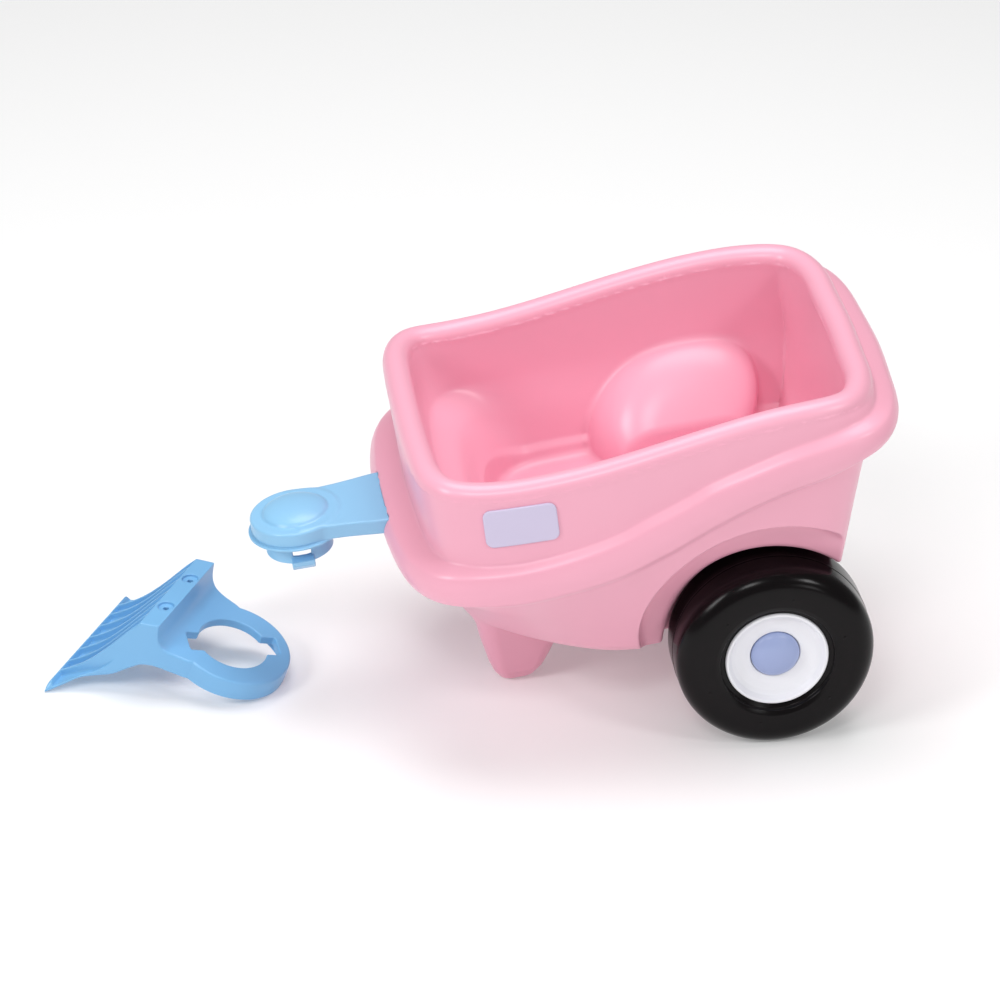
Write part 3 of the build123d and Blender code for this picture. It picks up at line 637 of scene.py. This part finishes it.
# ---------------------------------------------------------------------------
# planar outlines as look-up fields
# ---------------------------------------------------------------------------
class Plan:
    """Signed distance to a closed outline, tabled on a fine grid."""

    def __init__(self, pts, step=0.5, pad=14.0):
        p = np.asarray(pts, float)
        self.lo = p.min(0) - pad
        n = np.ceil((p.max(0) + pad - self.lo) / step).astype(int) + 1
        a, b = np.meshgrid(self.lo[0] + np.arange(n[0]) * step, self.lo[1] + np.arange(n[1]) * step, indexing="ij")
        self.t = poly_sdf(a.ravel(), b.ravel(), p).reshape(n)
        self.step, self.n = step, n

    def __call__(self, a, b):
        fa, fb = (a - self.lo[0]) / self.step, (b - self.lo[1]) / self.step
        ca = np.clip(fa, 0, self.n[0] - 1.001)
        cb = np.clip(fb, 0, self.n[1] - 1.001)
        ia, ib = ca.astype(np.int32), cb.astype(np.int32)
        ta, tb = ca - ia, cb - ib
        t = self.t
        v = ((t[ia, ib] * (1 - ta) + t[ia + 1, ib] * ta) * (1 - tb) + (t[ia, ib + 1] * (1 - ta) + t[ia + 1, ib + 1] * ta) * tb)
        return v + np.hypot(fa - ca, fb - cb) * self.step


# ---------------------------------------------------------------------------
# the tongue
# ---------------------------------------------------------------------------
HEAD_X, HEAD_R, HEAD_TOP, ARM_T = -395.0, 40.4, 148.0, 14.5
SPIGOT_R, SPIGOT_T, SPIGOT_Z = 30.2, 3.2, 111.5
ARM_W = ([-410, -374, -356, -340, -326, -318, -264], [36.5, 35.5, 37.0, 39.4, 42.0, 43.0, 43.0])


def tongue_field(p):
    x, y, z = p[:, 0], p[:, 1], p[:, 2]
    ay = np.abs(y)
    top, bot = HEAD_TOP, HEAD_TOP - ARM_T
    mid = (top + bot) / 2
    r = np.sqrt((x - HEAD_X) ** 2 + y * y)
    head = rbox2(r - HEAD_R, np.abs(z - mid) - ARM_T / 2, 2.6)
    hw = np.interp(x, *ARM_W)
    arm = rbox3(np.abs(x + 329.5) - 65.5, (ay - hw) * 0.995, np.abs(z - mid) - ARM_T / 2, 2.0)
    d = smin(head, arm, 4.0)
    lip = rbox2(r - HEAD_R - 3.0, np.abs(z - 132.7) - 1.15, 0.9)
    d = smin(d, lip, 1.2)
    rd = np.sqrt((x - HEAD_X - 0.8) ** 2 + y * y)
    q = np.sqrt((rd / 29.6) ** 2 + (np.maximum(z - top, -3) / 8.6) ** 2)
    dome = (q - 1) * np.where(q > 0.05, 8.6 / np.maximum(0.35, np.abs(z - top) / 8.6 / np.maximum(q, 0.05)), 8.6)
    dome = np.maximum(np.clip(dome, -6, 40), top - 2 - z)
    d = smin(d, dome, 1.6)
    # hollow underside
    low = z - (top - 4.0)
    d = smax(d, -smax(r - (SPIGOT_R - SPIGOT_T), low, 2.0), 1.0)
    for a, b, w in ((-361, -345, 32), (-341, -323, 34)):
        pk = rbox3(np.abs(x - (a + b) / 2) - (b - a) / 2, np.abs(ay - (w + 2) / 2) - (w - 2) / 2, low, 1.5)
        d = smax(d, -pk, 1.0)
    ring = rbox2(np.abs(r - SPIGOT_R + SPIGOT_T / 2) - SPIGOT_T / 2, np.abs(z - (SPIGOT_Z + 136) / 2) - (136 - SPIGOT_Z) / 2, 0.8)
    win = rbox3(np.abs(x - HEAD_X) - 8.2, 22 - ay, np.abs(z - 121.4) - 2.8, 0.8)
    ring = smax(ring, -win, 0.6)
    # tabs with a slanting nose
    nose = 106.6 + np.maximum(ay - 31.5, 0) * 0.95
    tab = rbox3(np.abs(x - HEAD_X) - 10.2, np.abs(ay - 33.1) - 5.5, np.maximum(z - 117.6, (nose - z) * 0.75), 0.8)
    ring = smin(ring, tab, 1.2)
    d = smin(d, ring, 1.4)
    hole = np.sqrt((x + 284) ** 2 + (ay - 22) ** 2) - 1.95
    d = np.maximum(d, -np.maximum(hole, z - 144.7))
    return d


tongue = implicit_piece("tongue_skin", tongue_field, (-441, -46, 103.5), (-261, 46, 159), 0.9,
                        t_to_row, T_ROT, 110000, half=True)
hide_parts("tongue")
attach(tongue, "trailer")

# ---------------------------------------------------------------------------
# the hitch bracket
# ---------------------------------------------------------------------------
RING_HOLE_R, RING_R = 32.4, 54.6
PAD_BACK, PAD_FRONT = (-73.5, 18.8), (-56.0, 25.0)
BACK_CURVE = [(-73.5, 18.8), (-79, 8.5), (-84.5, -3), (-91, -17), (-98, -31.5), (-105.5, -45), (-113.5, -56.5),
              (-122, -66.5), (-129.5, -74.5), (-131.2, -80.0)]
UNDER_CURVE = [(-129.3, -85.2), (-116, -72.5), (-107, -63), (-94, -55.5), (-81, -47.5), (-70, -35), (-60, -24.5),
               (-50, -20.4)]
SCOOP = [(55, 0), (-34, 0), (-42, 0.8), (-47.5, 3.2), (-51.5, 8), (-54, 14.5), (-56, 25)]
side_view = curve(BACK_CURVE, 5) + curve(UNDER_CURVE, 5) + [(55, -20.4), (55, 0)] + curve(SCOOP[1:], 5)
half = [(-130.5, 91), (-118, 80), (-104, 71), (-90, 66), (-76, 63), (-58, 61.5), (-44, 58.5), (-32, 55.6), (-22, 53.6)]
hc = curve(half + [(-16.9, 51.9)], 5)
plan_view = hc + [(RING_R * math.cos(a), RING_R * math.sin(a)) for a in
                  [math.radians(106 - i * 4) for i in range(54)]] + [(x, -y) for x, y in hc[::-1]]
fh = curve([(62, 30), (62, 4), (62, -22), (64.5, -38), (70, -54), (79, -72), (90, -87)], 5)
front_view = fh + [(-a, b) for a, b in fh[::-1]]
cav_view = curve([(-77, -8), (-73.5, 4), (-68.5, 13.2)], 4) + [(-58.2, 16.8), (-57.2, 15.6), (-54.6, 7.6),
                                                                (-50.8, 0.9), (-46.5, -2.6), (-40, -4.2)] + [
    (-40, -44), (-61, -40), (-68, -29), (-74, -20)]
deep = curve([(-72.2, 15.2), (-75.4, 7.6), (-79.5, -3.5), (-82, -16), (-84.5, -32), (-94, -47.5), (-105, -58.5),
              (-114.5, -67.5), (-124.5, -77.5)], 4)
pocket_view = deep + [(-139.5, -64), (-128, -20), (-96, 34), (-79, 26)]
P_SIDE, P_PLAN, P_FRONT = Plan(side_view), Plan(plan_view), Plan(front_view)
P_CAV, P_POCKET = Plan(cav_view), Plan(pocket_view)
NOTCH = math.radians(38.5)
TILT = BI
POCKETS = [(-90, -62.5), (-59.8, -44.6), (-42.4, -22.8), (-20.6, -1.1), (1.1, 20.6), (22.8, 42.4), (44.6, 59.8), (62.5, 90)]


def bracket_field(p):
    x, y, z = p[:, 0], p[:, 1], p[:, 2]
    ay = np.abs(y)
    r = np.sqrt(x * x + y * y)
    d = smax(smax(P_SIDE(x, z), P_PLAN(x, y), 2.6), P_FRONT(y, z), 2.6)
    # ring hole with its two notches
    ca, sa = math.cos(NOTCH), math.sin(NOTCH)
    a, b = x * ca + y * sa, -x * sa + y * ca
    notch = rbox2(np.abs(a) - 43.3, np.abs(b) - 11.6, 2.2)
    d = smax(d, -smin(r - RING_HOLE_R, notch, 1.2), 1.4)
    under = smax(r - (RING_R - 3.2), z + 8.4, 2.0)
    d = smax(d, -under, 1.0)
    cav = smax(P_CAV(x, z), ay - 56.8, 2.0)
    d = smax(d, -cav, 1.2)
    # pockets of the back plate
    k = P_POCKET(x, z)
    gap = np.full(x.shape, 1e3)
    for a, b in POCKETS:
        gap = np.minimum(gap, np.abs(y - (a + b) / 2) - (b - a) / 2)
    d = smax(d, -smax(k, gap, 1.6), 0.7)
    # counterbored fixing holes, upright at rest
    cx, cz = x + 64.6, z - 22.0
    ax = cz * math.cos(TILT) - cx * math.sin(TILT)
    bx = cx * math.cos(TILT) + cz * math.sin(TILT)
    for u in (-26.0, 26.0):
        rr = np.sqrt(bx * bx + (y - u) ** 2)
        d = smax(d, -smax(rr - 7.4, -2.6 - ax, 0.6), 0.8)
        d = np.maximum(d, -np.maximum(rr - 2.6, -11.0 - ax))
    return d


bracket = implicit_piece("bracket_skin", bracket_field, (-134, -94, -89), (58, 94, 29), 1.0,
                         b_to_row, B_ROT, 190000)
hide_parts("hitch_bracket")
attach(bracket, "bracket")


# ---------------------------------------------------------------------------
# turned pieces: profiles are (radius, distance from the middle plane)
# ---------------------------------------------------------------------------
def rounded(pts, closed=True):
    """Replaces each corner (r, s, fillet) by an arc."""
    out = []
    n = len(pts)
    for i, q in enumerate(pts):
        c = np.array(q[:2], float)
        f = q[2] if len(q) > 2 else 0
        if not f or (not closed and i in (0, n - 1)):
            out.append(tuple(c))
            continue
        a = np.array(pts[i - 1][:2], float) - c
        b = np.array(pts[(i + 1) % n][:2], float) - c
        la, lb = np.linalg.norm(a), np.linalg.norm(b)
        a, b = a / la, b / lb
        half_ang = math.acos(max(-1, min(1, float(a @ b)))) / 2
        if half_ang > 1.55:
            out.append(tuple(c))
            continue
        t = min(f / math.tan(half_ang), 0.49 * la, 0.49 * lb)
        f = t * math.tan(half_ang)
        m = c + (a + b) / np.linalg.norm(a + b) * (f / math.sin(half_ang))
        p0, p1 = c + a * t, c + b * t
        a0 = math.atan2(*(p0 - m)[::-1])
        a1 = math.atan2(*(p1 - m)[::-1])
        da = (a1 - a0 + math.pi) % (2 * math.pi) - math.pi
        k = max(2, int(abs(da) / math.radians(11)) + 1)
        for j in range(k + 1):
            g = a0 + da * j / k
            out.append((m[0] + f * math.cos(g), m[1] + f * math.sin(g)))
    res = [out[0]]
    for q in out[1:]:
        if math.hypot(q[0] - res[-1][0], q[1] - res[-1][1]) > 1e-4:
            res.append(q)
    if closed and math.hypot(res[0][0] - res[-1][0], res[0][1] - res[-1][1]) < 1e-4:
        res.pop()
    return res


def lathe(name, prof, side, seg=192, wobble=None):
    """Turns a closed profile about the axle. Points at radius 0 become poles."""
    V, F, rings = [], [], []
    n = len(prof)
    ang = [2 * math.pi * j / seg for j in range(seg)]
    for r, s in prof:
        if r < 1e-6:
            rings.append([len(V)])
            V.append((0.0, side * s, 0.0))
        else:
            rings.append(list(range(len(V), len(V) + seg)))
            for t in ang:
                q, w = (r, s) if wobble is None else wobble(r, s, t)
                V.append((q * math.cos(t), side * w, q * math.sin(t)))
    for i in range(n):
        A, B = rings[i], rings[(i + 1) % n]
        if len(A) == 1 and len(B) == 1:
            continue
        for j in range(seg):
            k = (j + 1) % seg
            if len(A) == 1:
                f = (A[0], B[k], B[j])
            elif len(B) == 1:
                f = (A[j], A[k], B[0])
            else:
                f = (A[j], A[k], B[k], B[j])
            F.append(f)
    # outward winding: the signed volume tells which way round the faces run
    V = np.array(V)
    vol = 0.0
    for f in F:
        for i in range(1, len(f) - 1):
            vol += float(np.dot(V[f[0]], np.cross(V[f[i]], V[f[i + 1]])))
    if vol < 0:
        F = [f[::-1] for f in F]
    return V, F


def merge(parts):
    V, F, n = [], [], 0
    for v, f in parts:
        V.append(np.asarray(v))
        F += [tuple(i + n for i in q) for q in f]
        n += len(v)
    return np.concatenate(V), F


def bead(x, y, z, r, h, side):
    """A small mould mark on the wheel's outer face."""
    V, F = [], []
    n, m = 12, 4
    for i in range(m + 1):
        a = math.pi / 2 * i / m
        for j in range(n):
            t = 2 * math.pi * j / n
            V.append((x + r * math.cos(a) * math.cos(t), side * (y + h * math.sin(a)), z + r * math.cos(a) * math.sin(t)))
    base = [(x + r * math.cos(2 * math.pi * j / n), side * (y - 0.6), z + r * math.sin(2 * math.pi * j / n)) for j in range(n)]
    V = base + V[:-n] + [(x, side * (y + h), z)]
    for i in range(m):
        for j in range(n):
            k = (j + 1) % n
            F.append((i * n + j, i * n + k, (i + 1) * n + k, (i + 1) * n + j))
    for j in range(n):
        F.append((m * n + j, m * n + (j + 1) % n, len(V) - 1))
    F.append(tuple(range(n))[::-1])
    if side > 0:
        F = [f[::-1] for f in F]
    return np.array(V), F


SEG = 224
TYRE = [(46.4, 150.0, 0.8), (50.6, 151.6, 1.6), (51.8, 154.9, 1.4), (56.0, 156.7, 3.0), (62, 157, 4), (71.5, 157.0, 0)]
TYRE += [(71 + 18 * math.sin(a), 138.9 + 18 * math.cos(a)) for a in [math.radians(6 * i) for i in range(1, 15)]]
TYRE += [(89, 136.5), (89, 124.0), (89.0, 123.2), (89.28, 122.9), (89.32, 122.5), (89.28, 122.1), (89.0, 121.8),
         (89, 121.0), (89, 103.0)]
TYRE += [(76 + 13 * math.sin(a), 101.0 - 13 * math.cos(a)) for a in [math.radians(90 - 6 * i) for i in range(1, 15)]]
TYRE += [(76, 88), (40, 88, 1.2), (34, 90.5, 2), (23, 90.5, 1), (21, 88.5, 1), (16.25, 88.5, 0.3), (16.25, 118), (46.4, 118)]
HUB = [(4.85, 89, 0.3), (16.1, 89, 0.5), (16.1, 118), (44.8, 118), (44.8, 145.5, 0.4), (46.3, 146.4, 0.5), (46.35, 150.6, 1.2),
       (45.4, 152.0, 1.2), (43.4, 151.9, 1.2), (42.0, 149.4, 1.0), (40.4, 146.5, 2.2), (36.5, 144.4, 3.0), (30.0, 142.9, 4.0),
       (25.0, 142.1, 3.0), (22.6, 141.9, 0.5), (22.4, 138.6), (19.65, 138.6), (19.65, 136.2), (4.85, 136.2)]
CAP = [(0, 150.5)] + [(21.75 * math.sin(math.pi / 2 * i / 16), 141.9 + 8.6 * math.cos(math.pi / 2 * i / 16))
                      for i in range(1, 17)]
CAP += [(21.75, 140.2, 0.4), (21.4, 138.65, 0.5), (19.55, 138.65), (19.55, 136.6), (16.4, 136.6), (16.4, 144.6), (10, 147), (0, 147.4)]
MARKS = [(12, 62.5), (72, 63.5), (131, 62.5), (197, 66.5), (250, 64.0), (312, 62.5)]


def wheel(side, tag):
    def out(r, s, t):
        # blow-moulded: the tread is very slightly uneven round the wheel
        k = max(0.0, min(1.0, (r - 70) / 12))
        return r + 0.10 * k * math.sin(3 * t + side) + 0.06 * k * math.sin(7 * t + 1.3), s + 0.12 * k * math.sin(2 * t + 0.6)

    t = lathe("tyre", rounded(TYRE), side, SEG, out)
    marks = [bead(r * math.cos(math.radians(a)), 156.95, r * math.sin(math.radians(a)), 1.5, 0.55, side) for a, r in MARKS]
    v, f = merge([t] + marks)
    a = add_mesh("tyre_skin_" + tag, t_to_row(v), f)
    v, f = lathe("hub", rounded(HUB), side, SEG)
    b = add_mesh("hub_skin_" + tag, t_to_row(v), f)
    v, f = lathe("cap", rounded(CAP), side, SEG)
    c = add_mesh("cap_skin_" + tag, t_to_row(v), f)
    for ob, node, sl in ((a, "tyre_", "black_wheel"), (b, "wheel_hub_", "white_hub"), (c, "hub_cap_", "lavender_cap")):
        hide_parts(node + tag)
        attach(ob, "wheel_" + tag)
    return a, b, c


wheels = [wheel(-1, "left"), wheel(1, "right")]


# ---------------------------------------------------------------------------
# side plates: plain rounded plates that follow the panel
# ---------------------------------------------------------------------------
def side_plate(side, tag):
    hx, hy, rad, edge = 32.0, 18.0, 7.0, 1.2
    V, F = [], []
    nu = 44
    cen = np.array([-209.0, -163.9, 190.5])
    ex = np.array([math.cos(math.radians(-5)), math.sin(math.radians(-5)), 0.0])
    t = math.radians(86.6)
    ey0 = np.array([-ex[1], ex[0], 0.0])
    ey = ey0 * math.cos(t) + np.array([0, 0, 1.0]) * math.sin(t)
    nz = np.cross(ex, ey)
    # outline loops from the rim inwards, then a fan of shrinking loops
    loops = []
    for inset, hgt in ((0.0, -1.2), (0.0, 1.0), (0.12, 1.45), (0.42, 1.8), (0.95, 2.02), (1.7, 2.1), (4, 2.1), (8, 2.1), (12, 2.1), (15, 2.1)):
        loop = []
        r = max(rad - inset, 0.6)
        for cx, cy, a0 in ((hx - rad, hy - rad, 0), (-hx + rad, hy - rad, 90), (-hx + rad, -hy + rad, 180), (hx - rad, -hy + rad, 270)):
            sx, sy = 1, 1
            if inset > rad - 0.6:
                k = inset - (rad - 0.6)
                cx, cy = cx - math.copysign(k, cx), cy - math.copysign(k, cy)
            for i in range(9):
                a = math.radians(a0 + 90 * i / 8)
                loop.append((cx + r * math.cos(a), cy + r * math.sin(a), hgt))
        loops.append(loop)
    m = len(loops[0])
    # long straights get extra points so the plate can bend
    def dens(loop):
        out = []
        for i in range(m):
            a, b = np.array(loop[i]), np.array(loop[(i + 1) % m])
            k = max(1, int(np.linalg.norm(np.array(loops[0][i]) - np.array(loops[0][(i + 1) % m])) / 3.0))
            out += [tuple(a + (b - a) * j / k) for j in range(k)]
        return out
    loops = [dens(q) for q in loops]
    m = len(loops[0])
    P = np.array([q for lp in loops for q in lp] + [(0, 0, 2.1)])
    W = cen + P[:, :1] * ex + P[:, 1:2] * ey
    # drop onto the tub along the plate's own axis
    d = np.zeros(len(W))
    for _ in range(12):
        d -= tub_field(W + nz * d[:, None])
    W = W + nz * (d + P[:, 2])[:, None]
    n = len(loops)
    for i in range(n - 1):
        for j in range(m):
            k = (j + 1) % m
            F.append((i * m + j, i * m + k, (i + 1) * m + k, (i + 1) * m + j))
    for j in range(m):
        F.append(((n - 1) * m + j, (n - 1) * m + (j + 1) % m, len(W) - 1))
    F.append(tuple(range(m))[::-1])
    if side > 0:
        W = W * np.array([1, -1, 1])
        F = [f[::-1] for f in F]
    ob = add_mesh("plate_skin_" + tag, t_to_row(W), F)
    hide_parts("side_plate_" + tag)
    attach(ob, "trailer")
    return ob


plates = [side_plate(-1, "left"), side_plate(1, "right")]
say("pieces")


# ---------------------------------------------------------------------------
# materials
# ---------------------------------------------------------------------------
def lin(*rgb):
    return tuple(((c / 255 + 0.055) / 1.055) ** 2.4 if c > 10 else c / 255 / 12.92 for c in rgb)


def moulded(name, col, rough, mottle=0.03, grain=0.00006, wave=0.00012, spec=0.5, sss=0.0, rough_var=0.05, coat=0.0):
    """Moulded plastic: faint mottling, a fine grain and the slow unevenness of a blown skin."""
    m = bpy.data.materials.new(name)
    m.use_nodes = True
    nt = m.node_tree
    nt.nodes.clear()
    N, L = nt.nodes.new, nt.links.new
    out = N("ShaderNodeOutputMaterial")
    bs = N("ShaderNodeBsdfPrincipled")
    L(bs.outputs[0], out.inputs[0])
    tc = N("ShaderNodeTexCoord")

    def noise(scale, detail=2.0, seed=0.0):
        mp = N("ShaderNodeMapping")
        mp.inputs["Location"].default_value = (seed, seed * 0.7, seed * 1.3)
        L(tc.outputs["Object"], mp.inputs[0])
        n = N("ShaderNodeTexNoise")
        n.inputs["Scale"].default_value = scale
        n.inputs["Detail"].default_value = detail
        L(mp.outputs[0], n.inputs["Vector"])
        return n.outputs["Fac"]

    big = noise(9.0, 3.0, 1.0)
    ramp = N("ShaderNodeMix")
    ramp.data_type = "RGBA"
    ramp.inputs[6].default_value = tuple(c * (1 - mottle) for c in col) + (1,)
    ramp.inputs[7].default_value = tuple(min(1, c * (1 + mottle)) for c in col) + (1,)
    L(big, ramp.inputs[0])
    L(ramp.outputs[2], bs.inputs["Base Color"])
    mr = N("ShaderNodeMapRange")
    mr.inputs["To Min"].default_value = rough - rough_var
    mr.inputs["To Max"].default_value = rough + rough_var
    L(noise(38.0, 4.0, 2.0), mr.inputs["Value"])
    L(mr.outputs[0], bs.inputs["Roughness"])
    b1 = N("ShaderNodeBump")
    b1.inputs["Strength"].default_value = 1.0
    b1.inputs["Distance"].default_value = wave
    L(noise(26.0, 2.0, 3.0), b1.inputs["Height"])
    b2 = N("ShaderNodeBump")
    b2.inputs["Strength"].default_value = 1.0
    b2.inputs["Distance"].default_value = grain
    L(noise(420.0, 2.0, 4.0), b2.inputs["Height"])
    L(b1.outputs[0], b2.inputs["Normal"])
    L(b2.outputs[0], bs.inputs["Normal"])
    bs.inputs["Specular IOR Level"].default_value = spec
    if sss:
        bs.inputs["Subsurface Weight"].default_value = sss
        bs.inputs["Subsurface Radius"].default_value = (0.006, 0.004, 0.004)
        bs.inputs["Subsurface Scale"].default_value = 1.0
    return m


def metal(name, col, rough):
    m = bpy.data.materials.new(name)
    m.use_nodes = True
    nt = m.node_tree
    bs = nt.nodes["Principled BSDF"]
    bs.inputs["Metallic"].default_value = 1.0
    tc = nt.nodes.new("ShaderNodeTexCoord")
    n = nt.nodes.new("ShaderNodeTexNoise")
    n.inputs["Scale"].default_value = 400.0
    nt.links.new(tc.outputs["Object"], n.inputs["Vector"])
    mr = nt.nodes.new("ShaderNodeMapRange")
    mr.inputs["To Min"].default_value = rough - 0.08
    mr.inputs["To Max"].default_value = rough + 0.08
    nt.links.new(n.outputs["Fac"], mr.inputs["Value"])
    nt.links.new(mr.outputs[0], bs.inputs["Roughness"])
    bs.inputs["Base Color"].default_value = tuple(col) + (1,)
    return m


MATS = {
    "pink_shell": moulded("pink_shell", PINK, 0.31, 0.02, 0.000006, 0.00014, 0.5, rough_var=0.025),
    # blue_tongue and blue_bracket are one plastic, painted lighter on the tongue and painted darker on the bracket
    # (painted light and painted shade)
    "blue_tongue": moulded("blue_tongue", BLUE_PAINTED_LIT, 0.31, 0.02, 0.000006, 0.00006, 0.5, rough_var=0.025),
    "blue_bracket": moulded("blue_bracket", BLUE_PAINTED_SHADE, 0.31, 0.02, 0.000006, 0.00005, 0.5, rough_var=0.025),
    "black_wheel": moulded("black_wheel", BLACK, 0.20, 0.10, 0.000008, 0.00010, 0.16, rough_var=0.02),
    "white_hub": moulded("white_hub", lin(240, 240, 245), 0.35, 0.01, 0.000006, 0.00006, 0.5, rough_var=0.03),
    "lavender_cap": moulded("lavender_cap", lin(158, 172, 214), 0.31, 0.015, 0.000006, 0.00005, rough_var=0.025),
    "plate": moulded("plate", lin(205, 196, 222), 0.38, 0.02, 0.000006, 0.00003),
    "nylon": moulded("nylon", (0.80, 0.79, 0.75), 0.5, 0.02),
    "steel": metal("steel", (0.62, 0.63, 0.65), 0.4),
}


def paint(ob, slot_name):
    ob.data.materials.clear()
    ob.data.materials.append(MATS[slot_name])


paint(tub, "pink_shell")
paint(tongue, "blue_tongue")
paint(bracket, "blue_bracket")
for a, b, c in wheels:
    paint(a, "black_wheel")
    paint(b, "white_hub")
    paint(c, "lavender_cap")
for o in plates:
    paint(o, "plate")
HIDDEN = {"tongue_screws": "steel", "axle_rod": "steel"}
for tag in ("left", "right"):
    HIDDEN.update({"push_nut_" + tag: "steel", "outer_washer_" + tag: "steel", "inner_spacer_" + tag: "nylon",
                   "axle_bush_" + tag: "nylon"})
for node, sl in HIDDEN.items():
    paint(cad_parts[node], sl)

# ---------------------------------------------------------------------------
# floor, light and camera
# ---------------------------------------------------------------------------
scene = bpy.context.scene
floor = add_mesh("studio_floor", [(-9, -9, 0), (9, -9, 0), (9, 9, 0), (-9, 9, 0)], [(0, 1, 2, 3)], smooth=False)
fm = bpy.data.materials.new("studio_floor")
fm.use_nodes = True
fb = fm.node_tree.nodes["Principled BSDF"]
fb.inputs["Base Color"].default_value = (FLOOR_C, FLOOR_C, FLOOR_C, 1)
fb.inputs["Roughness"].default_value = 0.9
fb.inputs["Emission Color"].default_value = (1, 1, 1, 1)
fb.inputs["Emission Strength"].default_value = GLOW
fb.inputs["Specular IOR Level"].default_value = 0.1
floor.data.materials.append(fm)

world = bpy.data.worlds.new("studio")
scene.world = world
world.use_nodes = True
bg = world.node_tree.nodes["Background"]
bg.inputs[0].default_value = (1.0, 1.0, 1.0, 1)
bg.inputs[1].default_value = WORLD


def softbox(name, at, look_at, sx, sy, power, col=(1, 1, 1)):
    d = bpy.data.lights.new(name, "AREA")
    d.shape = "RECTANGLE"
    d.size, d.size_y = sx, sy
    d.energy = power
    d.color = col
    o = bpy.data.objects.new(name, d)
    o.location = at
    o.rotation_euler = (Vector(look_at) - Vector(at)).to_track_quat("-Z", "Y").to_euler()
    scene.collection.objects.link(o)
    return o


for args in LIGHTS:
    softbox(*args)

RT = Vector((0.98965, -0.14350, 0.0))
UP = Vector((0.07155, 0.49343, 0.86683))
FW = RT.cross(UP) * -1
FW = Vector((0.12439, 0.85788, -0.49859))
cam_d = bpy.data.cameras.new("view")
cam_d.lens, cam_d.sensor_width = 180.0, 36.0
cam_d.clip_end = 60
cam = bpy.data.objects.new("view", cam_d)
cam.matrix_world = Matrix((
    (RT.x, UP.x, -FW.x, -0.519322), (RT.y, UP.y, -FW.y, -3.833358), (RT.z, UP.z, -FW.z, 2.411443), (0, 0, 0, 1)))
scene.collection.objects.link(cam)
scene.camera = cam
scene.view_settings.view_transform = "Standard"
scene.view_settings.look = "None"
scene.view_settings.exposure = 0.0
scene.view_settings.gamma = 1.0

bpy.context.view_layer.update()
say("done")
